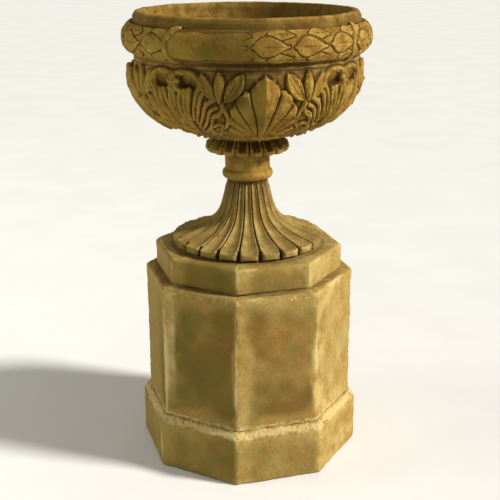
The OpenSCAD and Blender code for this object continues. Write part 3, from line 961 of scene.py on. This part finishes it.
def palmette_canvas():
    c = Canvas(24, ROW_S, ROW_Z, ROW_R)
    petals = (((0.9, 926), (9.5, 934), (16.2, 950), 15.0, 5.5),
              ((0.9, 926), (8.8, 948), (14.8, 976), 18.0, 7.0),
              ((0.8, 926), (7.3, 964), (12.2, 1001), 21.5, 8.5),
              ((0.6, 926), (4.9, 978), (8.4, 1025), 24.5, 10.0))
    for root, middle, tip, half, height in petals:
        form = dished(height, 1.8, 0.84, 2.0, 3.4)
        c.both([root, middle, tip], taper(half, 0.95), form, 2.2, 2.0, height * 0.32)
        for off in (0.35, 0.62):
            path = [(root[0] * off, 930), (middle[0] - 1.5 * off, middle[1] + 2),
                    (tip[0] - 4.5 * off, tip[1] - 17)]
            c.both(path, even_width(2.2, 0.8), ridge(height * 0.75 + 2.9), 2.6)

    def folded(t, v):
        side = np.abs(v)
        fold = np.exp(-side / 0.22)
        rim = bell(side, 0.86, 0.10)
        rib = bell(side, 0.45, 0.07) * ramp(t, 0.9, 0.5)
        return 18.5 + 1.2 * fold + 1.2 * rim - 11.0 * side + 1.2 * rib - 2.5 * ramp(side, 0.93, 1.0)

    def spear(t):
        return np.interp(t, [0, 0.25, 0.50, 0.70, 0.80, 0.88, 0.95, 1.0],
                         [3.5, 9, 19, 31, 36, 31, 17, 1.0])
    c.stroke([(0, 926), (0, 1008), (0, 1086)], spear, folded, 2.6, 2.0, 4.0)
    c.ball(0, 930, 10, 8)
    random = np.random.default_rng(3)
    for k in range(26):
        place = random.uniform(-23, 23), random.uniform(906, 924)
        c.ball(place[0], place[1], random.uniform(4.5, 7.5), random.uniform(2.0, 4.0))
    loop = [(2.5, 932), (7.5, 924), (11.5, 931), (10.0, 941), (7.4, 937)]
    c.both(loop, even_width(5.0, 0.6), ridge(8.5))
    for x, z, radius in ((13.5, 942, 6.5), (17.0, 950, 6.0), (4.0, 916, 6.0), (10.5, 916, 6.5),
                         (16.5, 932, 6.5)):
        c.ball(x, z, radius, 4.5)
        c.ball(-x, z + 2, radius, 4.5)
    c.soften()
    return c


def sprig_canvas():
    """The spray on the palmette's positive side; the palmette lies towards negative angles."""
    c = Canvas(15, ROW_S, ROW_Z, ROW_R)
    stems = (([(0.9, 1034), (0.2, 1018), (-0.6, 1004)], 6.0, 0.7, 10),
             ([(-0.4, 1008), (-1.9, 985), (-0.2, 962), (3.6, 952)], 4.8, 0.8, 9.5),
             ([(0.5, 1006), (3.0, 990), (6.5, 985)], 4.8, 0.6, 9.0))
    for path, half, end, height in stems:
        c.stroke(path, even_width(half, end), ridge(height))
    leaves = (([(3.2, 1027), (7.2, 1060), (10.0, 1092)], 14.5, veined(6.8, 3.0, 5), 1.8),
              ([(-1.2, 1026), (-5.6, 1056), (-9.6, 1091)], 18.0, veined(7.8, 3.2, 6), 1.8),
              ([(1.4, 1022), (1.2, 1060), (0.9, 1100)], 13.0, keeled(10.5, 5.5, 6), 2.0))
    for path, half, form, moat in leaves:
        c.stroke(path, leaf_width(half, 0.52), form, 2.8, moat)
    c.soften()
    return c


def acanthus_canvas():
    c = Canvas(25, ROW_S, ROW_Z, ROW_R)
    random = np.random.default_rng(9)

    def reed_width(t):
        return np.interp(t, [0, 0.5, 1], [2.6, 5.4, 6.2])

    for k in range(7):
        x = (k - 3) * 2.9
        lift = 1050 + 4 * random.normal()
        sway = 0.35 * random.normal(0, 1, 4)
        reed = [(x * 0.30, 932), (x * 0.58 + sway[0], 972), (x * 0.90 + sway[1], 1015),
                (x * 1.06 + sway[2], lift)]
        c.stroke(reed, reed_width, ridge(9.0 + sway[3] * 4), 2.6, 1.0, 2.0)
    ribs = (((15.6, 1066), (12.6, 1042), (10.6, 1014), (7.2, 975), 5.4, 8.5),
            ((18.6, 1052), (14.8, 1039), (12.4, 1006), (8.2, 966), 5.2, 7.5),
            ((21.8, 1034), (16.4, 1014), (13.4, 985), (8.0, 955), 5.4, 8.5),
            ((22.0, 1012), (18.0, 1000), (14.4, 970), (8.6, 946), 5.0, 8.0),
            ((22.6, 996), (19.0, 986), (16.4, 962), (10.4, 940), 5.2, 8.5))
    for first, second, third, fourth, half, height in ribs:
        c.both([first, second, third, fourth], even_width(half, 0.62), ridge(height), 2.6, 1.2, 1.5)
    arch = [(15.6, 1056), (14.4, 1074), (11.0, 1090), (5.5, 1094), (0.0, 1087)]
    c.both(arch, even_width(6.5, 0.8), ridge(8.2))
    knobs = ((12.2, 1012, 6.5), (17.0, 1020, 6.5), (9.0, 952, 7), (17.8, 958, 6.0), (13.0, 932, 7),
             (6.0, 924, 7), (18.5, 934, 6.5), (11.0, 912, 6.5), (2.4, 912, 7))
    for x, z, radius in knobs:
        c.ball(x, z, radius, 5.0)
        c.ball(-x, z + 1, radius, 5.0)
    c.both([(2.2, 1050), (1.2, 1062), (0.6, 1074)], even_width(6.0, 0.9), ridge(9.0))
    c.soften()
    return c


def bud_canvas():
    c = Canvas(7, ROW_S, ROW_Z, ROW_R)
    for x, z, radius, height in ((0, 1078, 10, 9), (-1.9, 1070, 8.5, 9), (1.9, 1071, 8.5, 9.5),
                                 (-0.5, 1063, 8, 9), (0.9, 1085, 6, 7), (-1.6, 1083, 6, 6.5),
                                 (0.2, 1071, 7, 12)):
        c.ball(x, z, radius, height)
    c.soften()
    return c


def scroll_canvas():
    c = Canvas(8, ROW_S, ROW_Z, ROW_R)
    coil = [(-5.0, 958), (-1.5, 966), (2.8, 960), (3.6, 949), (0.4, 942), (-2.4, 947), (-1.0, 953)]
    c.stroke(coil, even_width(5.0, 0.7), ridge(9))
    for x, z, radius in ((0.2, 951, 5.5), (4.4, 942, 5.0), (-4.2, 944, 5.0)):
        c.ball(x, z, radius, 5.5)
    c.soften()
    return c


def hollows():
    """Depth of the dark oval pockets either side of each bud, over one period centred on a palmette."""
    a = np.arange(PERIOD) * STEP - 45
    depth = np.zeros((len(ROW_S), PERIOD))
    for centre in (-45 + 7.7, 45 - 7.7):
        x = ((a - centre + 45) % 90 - 45)[None, :] * math.pi / 180 * ROW_R[:, None]
        y = (ROW_Z - 1067)[:, None]
        lean = 1.0 if centre > 0 else -1.0
        d = np.hypot((x - 0.18 * lean * y) / 24, y / 21)
        depth = np.maximum(depth, 14 * ramp(1.12 - d, 0.0, 0.50))
    return depth


# Each motif's canvas, its degrees from a palmette, and whether it also stands mirrored on the other side
MOTIFS = {"palmette": (palmette_canvas(), 0, False),
          "sprig": (sprig_canvas(), 20, True),
          "acanthus": (acanthus_canvas(), 45, False),
          "bud": (bud_canvas(), 45, False),
          "scroll": (scroll_canvas(), 26, True)}
HOLLOWS = hollows()


def over_period(canvas, centre, mirror):
    """The canvas's heights, turned over if mirrored, and their columns in the period."""
    field = canvas.height[:, ::-1] if mirror else canvas.height
    start = int(round((centre + 45) / STEP)) - canvas.columns
    return field, (start + np.arange(field.shape[1])) % PERIOD


def combined():
    """The height of all the relief over one period centred on a palmette."""
    total = np.full((len(ROW_S), PERIOD), EMPTY)
    for canvas, centre, mirrored in MOTIFS.values():
        for mirror in (False, True) if mirrored else (False,):
            field, columns = over_period(canvas, -centre if mirror else centre, mirror)
            total[:, columns] = np.maximum(total[:, columns], field)
    return total


TOTAL = np.maximum(combined(), -HOLLOWS)
# Dirt and painted shade in the relief's hollows and on the ground close beside it; paler worn crests with a
# painted highlight.
HOLLOW_DIRT_AND_SHADE = np.clip((blur(TOTAL, 4) - TOTAL) / 4.2, 0, 1)
NEAR_RELIEF_DIRT_AND_SHADE = ramp(blur((TOTAL > -0.5).astype(float), 6), 0.30, 0.85)
HOLLOW_DIRT_AND_SHADE = np.clip(HOLLOW_DIRT_AND_SHADE + (0.06 + 0.30 * NEAR_RELIEF_DIRT_AND_SHADE) * np.clip((2.2 - TOTAL) / 2.2, 0, 1), 0, 1)
CREST_WEAR_AND_HIGHLIGHT = np.clip((TOTAL - blur(TOTAL, 3)) / 3.0, 0, 1) * (TOTAL > 3)


def urn_stain_and_shade(p, gap=None):
    """Brown staining on the urn, heaviest a little left of the front, where it is also painted shade on the
    side away from the key light. The gap to edges isn't used.
    """
    patches = noise(p, 90, 81) + 0.6 * noise(p, 34, 82)
    return np.clip(0.72 * front(p, -30, 31) * (0.75 + 0.5 * patches) + 0.30 * np.clip(patches, 0, 1), 0, 1)


def raised(field, least, sink, rough, rows, angle, wrap=False):
    """The part of a canvas that stands above least, as a skin whose border sinks to sink.

    rows holds the radius, height and normal of each row, and rough(points, height) is added.
    Returns the points, the numbers of those in use, the quads, the new number of each point,
    and the border's edges.
    """
    inside = field > least
    count = field.shape[1]
    following = np.roll(inside, -1, axis=1) if wrap else np.pad(inside[:, 1:], ((0, 0), (0, 1)))
    row, column = np.nonzero(inside[:-1] & inside[1:] & following[:-1] & following[1:])
    on = (column + 1) % count
    corners = np.stack([row * count + column, row * count + on, (row + 1) * count + on,
                        (row + 1) * count + column], axis=1)
    sides = np.concatenate([corners[:, [k, (k + 1) % 4]] for k in range(4)])
    forward = sides[:, 0] * field.size + sides[:, 1]
    backward = sides[:, 1] * field.size + sides[:, 0]
    border = sides[~np.isin(forward, backward)]
    height = field.copy().ravel()
    height[border] = np.minimum(height[border], sink)
    height = height.reshape(field.shape)
    row_r, row_z, row_n = rows
    spot = around(row_r[:, None], angle[None, :], row_z[:, None])
    height = height + rough(spot, height)
    points = spot + around(height * row_n[:, :1], angle[None, :], height * row_n[:, 1:2])
    used = np.unique(corners)
    order = np.full(field.size, -1)
    order[used] = np.arange(len(used))
    return points.reshape(-1, 3), used, order[corners], order, border


def relief_piece(name, node, canvas, centre, mirror, seed):
    """The canvas as a closed shell standing out of the bowl at that angle, in degrees from a palmette."""
    field, columns = over_period(canvas, centre, mirror)

    def rough(p, height):
        layers = (1.1, 12, seed), (0.6, 5, seed + 2), (0.7, 37, seed + 4)
        return blotches(p, *layers) * ramp(height, 0.0, 3.0)

    turn = TURN + math.radians(centre)
    points, used, quads, order, border = raised(field, -2.6, -3.0, rough, (ROW_R, ROW_Z, ROW_N),
                                                turn + canvas.a)
    back = points[used].mean(axis=0) - around(9, turn, 0)
    fan = np.stack([order[border[:, 1]], order[border[:, 0]], np.full(len(border), len(used))], axis=1)
    values = {"stain": np.append(urn_stain_and_shade(points[used]), 0.0),
              "dirt_and_painted_shade": np.append(HOLLOW_DIRT_AND_SHADE[:, columns].ravel()[used], 1.0),
              "edge": np.append(0.42 * CREST_WEAR_AND_HIGHLIGHT[:, columns].ravel()[used], 0.0)}
    build(name, [node], "urn", np.vstack([points[used], back]), [quads, fan], values, relief_stone)


def relief():
    """Each CAD ornament gets its piece, at the angle where the CAD has it."""
    for number, (kind, (canvas, place, mirrored)) in enumerate(MOTIFS.items()):
        names = sorted(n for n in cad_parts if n.startswith(kind + "_"))
        for k, node in enumerate(names):
            low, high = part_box(node)
            x = (low[0] + high[0]) / 2
            y = (low[1] + high[1]) / 2
            degrees = math.degrees(math.atan2(x, -y) - TURN)
            quarter = round((degrees - (0 if mirrored else place)) / 90) * 90
            mirror = mirrored and (degrees - quarter + 180) % 360 - 180 < 0
            centre = quarter + (-place if mirror else place)
            relief_piece(node + "_carving", node, canvas, centre, mirror, 20 + 7 * number + 3 * k)


# ---------------------------------------------------------------- bowl
RIM_TOP = 1220
WELL_R = 271


def bowl():
    start = math.asin((BELLY_Z - COLLAR_TOP) / BELLY_H)
    swing = np.linspace(start, 0, 76)
    lower = [(BELLY * math.cos(t), BELLY_Z - BELLY_H * math.sin(t)) for t in swing]
    outer = curve([298, 298, 297.6, 296.4], [1070, 1082, 1085, 1089])
    band_z = np.concatenate([np.arange(1092, 1097, 2), np.arange(1097, 1116, 1.25),
                             np.arange(1118, 1206, 5)])
    swing = np.linspace(0, math.pi / 2, 22)
    well = [(WELL_R * math.cos(t), 1085 - 175 * math.sin(t)) for t in swing]
    well = [(r, z) for r, z in well if z > 922 and r > 52]
    section = outline(
        [(TUBE_HOLE, COLLAR_TOP, 0, 14)] + curve(*zip(*lower)) + outer
        + curve([296.0] * len(band_z), band_z)
        + [(296, 1208, 3, 3), (289, RIM_TOP, 4, 2), (273, RIM_TOP, 4, 4), (WELL_R, 1206, 3, 6),
           (WELL_R, 1085, 0, 1000)]
        + curve(*zip(*well[1:]))
        + [(40, 920, 3, 5), (40, 898, 0, 8), (TUBE_HOLE, 898, 0, 8)])
    angles = even(500)

    def carved(section, angles, points):
        r = section[:, 0]
        z = section[:, 1]
        outside = np.zeros(len(section), dtype=bool)
        top = int(np.argmax(z))
        outside[:top] = z[:top] > 896
        period = ((np.degrees(angles - TURN) + 45) % 90) / STEP
        near = np.floor(period).astype(int) % PERIOD
        row = np.interp(z, ROW_Z, np.arange(len(ROW_Z)))
        row = np.clip(np.round(row).astype(int), 0, len(ROW_Z) - 1)
        within = (outside & (z < RELIEF_TOP))[:, None]
        depth = np.where(within, HOLLOWS[row][:, near], 0)
        # Dirt and painted shade from the relief's hollows; the oval pockets are painted fully dark as shade.
        dark = np.where(within, HOLLOW_DIRT_AND_SHADE[row][:, near], 0)
        dark = np.where(within & (depth > 2), 1.0, dark)
        # Two incised lines, also darkened in the colour as painted shade.
        lines = bell(z, 1099, 1.8) + 0.7 * bell(z, 1109, 1.3)
        lines = (lines * outside)[:, None] * (0.75 + 0.25 * noise(points, 60, 33))
        inside = (~outside & (r > 45) & (z > 900))[:, None]
        # Inside the bowl, darker lower down: soil and painted shade in the well.
        darker_low_down = np.where(inside, 0.20 + 0.50 * ramp(1150 - z, 0, 120)[:, None], 0)
        # The band under the rim darker: dirt and painted shade.
        rim_dirt_and_shade = np.where(outside, 0.42 * ramp(z, 1184, 1198) * ramp(1224 - z, 2, 12), 0)[:, None]
        # A darker band below the wreath, strongest towards the front: dirt and the wreath's painted shadow.
        under = 0.16 * ramp(z, 1084, 1092) + 0.60 * ramp(z, 1108, 1118)
        under = (outside * under * (z < 1150))[:, None]
        under = under * (0.06 + 0.94 * front(points.reshape(-1, 3), -10, 32).reshape(dark.shape))
        # Darker just above the collar: painted shade under the bowl.
        neck = (0.35 * np.exp(-(z - COLLAR_TOP) / 12) * (z < 940))[:, None]
        return -depth - 1.3 * lines, np.clip(dark + 0.35 * lines + darker_low_down + rim_dirt_and_shade + under + neck, 0, 1)

    def band_painted_light(p):
        # Painted light: the band below the wreath made paler to lift the wreath's shadow from it.
        low = ramp(p[:, 2], 1078, 1087) * ramp(1112 - p[:, 2], 0, 6)
        return 0.50 * low * (np.hypot(p[:, 0], p[:, 1]) > 285)

    turned("bowl_stone", ["bowl"], "urn", section, angles, urn_stone, shape=carved,
           wear=0.9, chips=1.6, edges=((289, RIM_TOP), (273, RIM_TOP)), seed=31, chip_range=4,
           edge_range=4, stain=urn_stain_and_shade, rubbed_and_painted_light=band_painted_light)


# ---------------------------------------------------------------- wreath
RING_R = 295.0
RING_Z = 1156.0
RING_OUT = 29.0
RING_HALF = 40.0


def ring_line(count):
    t = np.linspace(-math.pi / 2, math.pi / 2, count)
    return RING_R + RING_OUT * np.cos(t), RING_Z + RING_HALF * np.sin(t)


wreath_r, wreath_z = ring_line(2001)
wreath_s = distances(wreath_r, wreath_z)
W_S = np.linspace(0.5, wreath_s[-1] - 0.5, 66)
W_T = np.interp(W_S, wreath_s, np.linspace(-90, 90, 2001))
W_R = np.interp(W_S, wreath_s, wreath_r)
W_Z = np.interp(W_S, wreath_s, wreath_z)
W_N = line_normals(W_R, W_Z)
W_STEP = 0.27
LEAF_PITCH = 18.0
LEAF_TIP = -12.96
RIBBON_AT = (-51.5, 38.5, 128.5, 218.5)


def full_ring_canvas():
    """A canvas that closes all the way round.

    Paths on it are (degrees, section angle from -90 at the bottom to 90 at the top).
    """
    canvas = Canvas(W_STEP, W_S, W_T, W_R, W_STEP)
    count = int(round(360 / W_STEP))
    canvas.a = np.radians(np.arange(count) * 360 / count - 180)
    canvas.height = np.full((len(W_S), count), EMPTY)
    return canvas


def bay_leaf(height, hollow, lift):
    """A leaf with an incised midrib and outline, standing highest at its tip."""
    def form(t, v):
        side = np.abs(v)
        mid = bell(v, 0, 0.07) * ramp(t, 0.95, 0.75)
        over = ramp(side, 0.80, 1.0)
        veins = np.cos((t * 6 - side * 1.5) * math.tau) * 0.2 * side
        return height + lift * t - 1.2 * mid - 1.0 * over - hollow * side * (1 - side) + veins
    return form


def shell_on_ring(name, node, canvas, seed):
    """A wreath canvas as a closed shell on the ring."""
    def rough(p, height):
        return blotches(p, (0.8, 14, seed), (0.45, 5, seed + 1)) * ramp(height, -1, 1.5)

    field = canvas.height
    points, used, quads, order, border = raised(field, -1.6, -2.0, rough, (W_R, W_Z, W_N),
                                                canvas.a, True)
    inner = np.unique(border)
    deep = around(np.full(field.shape, RING_R + 4), canvas.a[None, :],
                  RING_Z + 0.55 * (W_Z[:, None] - RING_Z)).reshape(-1, 3)[inner]
    low = np.full(field.size, -1)
    low[inner] = len(used) + np.arange(len(inner))
    wall = np.stack([order[border[:, 1]], order[border[:, 0]], low[border[:, 0]],
                     low[border[:, 1]]], axis=1)
    # Dirt and painted shade in the hollows and on the low ground between leaves; paler crests with a painted
    # highlight.
    smooth = blur(field, 2)
    dark = np.clip((smooth - field) / 1.0, 0, 1) + 0.35 * (field < 0.2) + 0.20 * (field < 1.25)
    crest = np.clip((field - smooth) / 1.6, 0, 0.40)
    nothing = np.zeros(len(inner))
    values = {"stain": np.append(urn_stain_and_shade(points[used]), nothing),
              "dirt_and_painted_shade": np.append(np.clip(dark, 0, 1).ravel()[used], np.ones(len(inner))),
              "edge": np.append(crest.ravel()[used], nothing)}
    build(name, [node], "urn", np.vstack([points[used], deep]), [quads, wall], values,
          relief_stone)


def wreath():
    t = np.linspace(-math.pi / 2, math.pi / 2, 40)
    roll = np.stack([RING_R + (RING_OUT - 0.4) * np.cos(t), RING_Z + (RING_HALF - 1) * np.sin(t)],
                    axis=1)
    section = np.vstack([[(290.0, 1118.0)], roll, [(290.0, 1194.0)]])

    def dark(section, angles, points):
        # Dirt and painted shade on the ring where it shows between the leaves.
        return zeros(points), np.full(points.shape[:2], 0.55)

    turned("wreath_ring_stone", ["wreath_ring"], "urn", section, even(440), urn_stone,
           shape=dark, wear=0.8, seed=41)
    canvas = full_ring_canvas()
    roll = 1.0 - 10 * ramp(np.abs(W_T), 66, 88)
    canvas.height = np.repeat(roll[:, None], len(canvas.a), axis=1)
    random = np.random.default_rng(5)
    for k in range(-10, 10):
        tip = LEAF_TIP + LEAF_PITCH * k
        for t in (46, -46):
            wander = random.normal(0, 0.6, 3)
            path = [(tip + 16.5 + wander[0], 0.84 * t), (tip + 11 + wander[1], t),
                    (tip + 5.5 + wander[2], 1.04 * t)]
            form = bay_leaf(1.6, 0.8, 1.2)
            canvas.stroke(path, leaf_width(15.0, 0.6, 0.1), form, 1.5, 3.4, -1.4)
    for k in range(-10, 10):
        tip = LEAF_TIP + LEAF_PITCH * k
        drift = random.normal(0, 2.0, 3)
        path = [(tip + 14.2, drift[0]), (tip + 7, drift[1]), (tip - 0.8, drift[2])]
        width = leaf_width(24.0 + random.normal(0, 1.0), 0.62, 0.12)
        canvas.stroke(path, width, bay_leaf(2.3, 1.0, 1.6), 1.8, 4.0, -1.8)
    place = around(np.full(canvas.height.shape, RING_R), canvas.a[None, :], W_Z[:, None])
    worn = 1.15 * front(place.reshape(-1, 3), -36, 24).reshape(canvas.height.shape)
    worn = np.clip(worn + 0.25 * noise(place, 70, 90), 0, 0.97)
    canvas.height = canvas.height * (1 - worn) + blur(canvas.height, 6) * worn
    shell_on_ring("wreath_leaves_stone", "wreath_leaves", canvas, 43)


def ribbons():
    """All four ribbons as one piece: flat slanting bands with both edges rolled up."""
    canvas = full_ring_canvas()

    def band(t, v):
        edge = bell(np.abs(v), 0.72, 0.16)
        return 4.2 + 0.9 * edge - 2.5 * ramp(np.abs(v), 0.84, 1)

    def width(t):
        return 7.0 - 1.2 * np.sin(math.pi * t)

    for at in RIBBON_AT:
        for turn in (-360, 0, 360):
            a = at + turn
            if abs(a) < 200:
                path = [(a + 2.6, -84), (a - 0.4, -48), (a - 1.8, 0), (a + 0.2, 42), (a + 3.2, 84)]
                canvas.stroke(path, width, band, 2.2)
    shell_on_ring("wreath_ribbons_stone", "wreath_ribbons", canvas, 47)


# ---------------------------------------------------------------- hidden fixings
def dowels(name, node, radius_at, low, high):
    """Four ribbed steel bars standing on two axes, as one piece."""
    radius = 8
    ribs = 9
    count = 20
    z = np.concatenate([[low, low + 1.5], np.arange(low + 3, high - 2, 1.6), [high - 1.5, high]])
    a = even(count)
    points = []
    faces = []
    for x, y in ((radius_at, 0), (0, radius_at), (-radius_at, 0), (0, -radius_at)):
        base = sum(len(p) for p in points)
        r = np.full(len(z), radius - 0.8)
        r = r[:, None] + 0.8 * np.clip(np.sin((z[:, None] / ribs) * math.tau + a[None, :]), 0, 1)
        r[0] = r[-1] = radius - 1.6
        grid = np.stack([x + r * np.cos(a), y + r * np.sin(a), np.repeat(z[:, None], count, 1)],
                        axis=-1)
        points.append(np.vstack([grid.reshape(-1, 3), [[x, y, low], [x, y, high]]]))
        faces.append(ring_faces(len(z), count)[:-count] + base)
        k = np.arange(count)
        on = (k + 1) % count
        bottom = np.full(count, len(z) * count)
        last = (len(z) - 1) * count
        faces.append(np.stack([on, k, bottom], axis=1) + base)
        faces.append(np.stack([last + k, last + on, bottom + 1], axis=1) + base)
    build(name, [node], "pedestal", np.vstack(points), faces, {"dirt_and_painted_shade": 0.0}, steel)


def thread(section, angles, points):
    """A fine screw thread on the outside of the tube."""
    out = (section[:, 0] > 9.5)[:, None]
    turn = points[..., 2] / 1.8 * math.tau - angles[None, :]
    return np.where(out, -0.35 + 0.35 * np.sin(turn), 0.0), zeros(points)


def tie_tube():
    low, high = levels("tie_tube")
    section = outline([(8, low, 0, 3), (10.5, low, 0.5, 0.6), (10.5, high, 0.5, 3), (8, high, 0, 6)])
    turned("tie_tube_steel", ["tie_tube"], "urn", section, even(28), steel, shape=thread,
           wear=0.0)


def nut(node):
    """A hexagon nut with both faces chamfered."""
    low, high = levels(node)
    bore = 10.8
    half = 17
    corner = 19.63
    section = outline([(bore, low, 0.5, 2), (half, low, 0, 1.0), (18.0, low + 1.6, 0, 1.5),
                       (corner, low + 2.4, 0, 1.5), (corner, high - 2.4, 0, 1.5),
                       (18.0, high - 1.6, 0, 1.0), (half, high, 0, 2), (bore, high, 0.5, 1.5)])
    normals = section_normals(section)

    def hexagon(section, angles, points):
        off = (angles + math.pi / 6) % (math.pi / 3) - math.pi / 6
        flat = half / np.cos(off)[None, :]
        r = section[:, :1]
        target = np.where(r > 12, np.minimum(r, flat), r)
        push = (target - r) / np.where(np.abs(normals[:, :1]) > 0.3, normals[:, :1], 1e9)
        return push, zeros(points)

    turned(node + "_steel", [node], "urn", section, even(96), steel, shape=hexagon, wear=0.0)


def disc(node, radius, material, slot):
    """A washer or gasket."""
    low, high = levels(node)
    bore = 11.2
    section = outline([(bore, low, 0.4, 4), (radius, low, 0.8, 0.8), (radius, high, 0.8, 4),
                       (bore, high, 0.4, 0.8)])
    turned(node + "_" + slot, [node], "urn", section, even(96), material, wear=0.12)


base_course()
die()
base_block()
bed("die_bed_mortar", "die_bed", "pedestal", DIE_HALF, 150, 154, 2.4, True)
bed("seat_bed_mortar", "seat_bed", "pedestal", 236.5, DIE_TOP, BLOCK_LOW, 2.0, True)
bed("foot_bed_mortar", "foot_bed", "urn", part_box("foot_bed")[1][0] * 1000 - 1, BLOCK_TOP, FOOT_LOW,
    1.5, False)
fluted_foot()
neck_ring()
petal_collar()
bowl()
wreath()
ribbons()
relief()
dowels("die_dowels_steel", "die_dowels", 245, 105, 195)
dowels("seat_dowels_steel", "seat_dowels", 150, *levels("seat_dowels"))
tie_tube()
nut("nut_top")
nut("nut_bottom")
disc("washer_top", 30, steel, "steel")
disc("washer_bottom", 30, steel, "steel")
disc("gasket", 34, rubber, "rubber")


# ---------------------------------------------------------------- stage, light and camera
CAMERA_TURN = math.radians(16.46)


def floor():
    mesh = bpy.data.meshes.new("floor")
    size = 45.0
    corners = [(-size, -size, 0), (size, -size, 0), (size, size, 0), (-size, size, 0)]
    mesh.from_pydata(corners, [], [(0, 1, 2, 3)])
    piece = add_object("floor", mesh)
    s = Shader("pale_floor", roughness=0.8, specular=0.2)
    tone = s.noise(3.0, 3, 0.5)
    s.colour(s.mix(s.span(tone, 0.3, 0.7), (0.84, 0.84, 0.84, 1), (0.87, 0.87, 0.87, 1)))
    mesh.materials.append(s.material)


def lamp(name, kind, azimuth, elevation, strength, colour, aim=(0, 0, 0), distance=1.0):
    """A lamp shining at aim from an azimuth, counted from the camera's side towards its right."""
    piece = add_object(name, bpy.data.lights.new(name, kind))
    piece.data.energy = strength
    piece.data.color = colour
    turn = math.radians(azimuth) - CAMERA_TURN
    up = math.radians(elevation)
    toward = Vector((math.sin(turn) * math.cos(up), -math.cos(turn) * math.cos(up), math.sin(up)))
    aim = Vector(aim)
    piece.location = aim + distance * toward
    piece.rotation_euler = (aim - piece.location).to_track_quat("-Z", "Y").to_euler()
    return piece.data


floor()
key = lamp("key", "SUN", 74, 33, 4.55, (1.0, 0.975, 0.90))
key.angle = math.radians(9)
fill = lamp("fill", "AREA", -84, 14, 58, (1.0, 0.97, 0.86), (0, 0, 0.75), 4.5)
fill.shape = "DISK"
fill.size = 2.0

world = bpy.data.worlds.new("studio")
bpy.context.scene.world = world
world.use_nodes = True
background = world.node_tree.nodes["Background"]
background.inputs["Color"].default_value = (1.0, 0.97, 0.89, 1)
background.inputs["Strength"].default_value = 0.285

camera_data = bpy.data.cameras.new("camera")
camera_data.sensor_width = 36.0
camera_data.lens = 71.68
camera_data.clip_end = 120
camera = add_object("camera", camera_data)
place = Vector((6.04 * MM, -2647.4 * MM, 1416.3 * MM))
spin = Matrix.Rotation(-CAMERA_TURN, 4, "Z")
tilt = Matrix.Rotation(math.radians(90 - 17.846), 4, "X")
roll = Matrix.Rotation(math.radians(-0.213), 4, "Z")
camera.matrix_world = spin @ Matrix.Translation(place) @ tilt @ roll
bpy.context.scene.camera = camera
bpy.context.scene.view_settings.view_transform = "Standard"
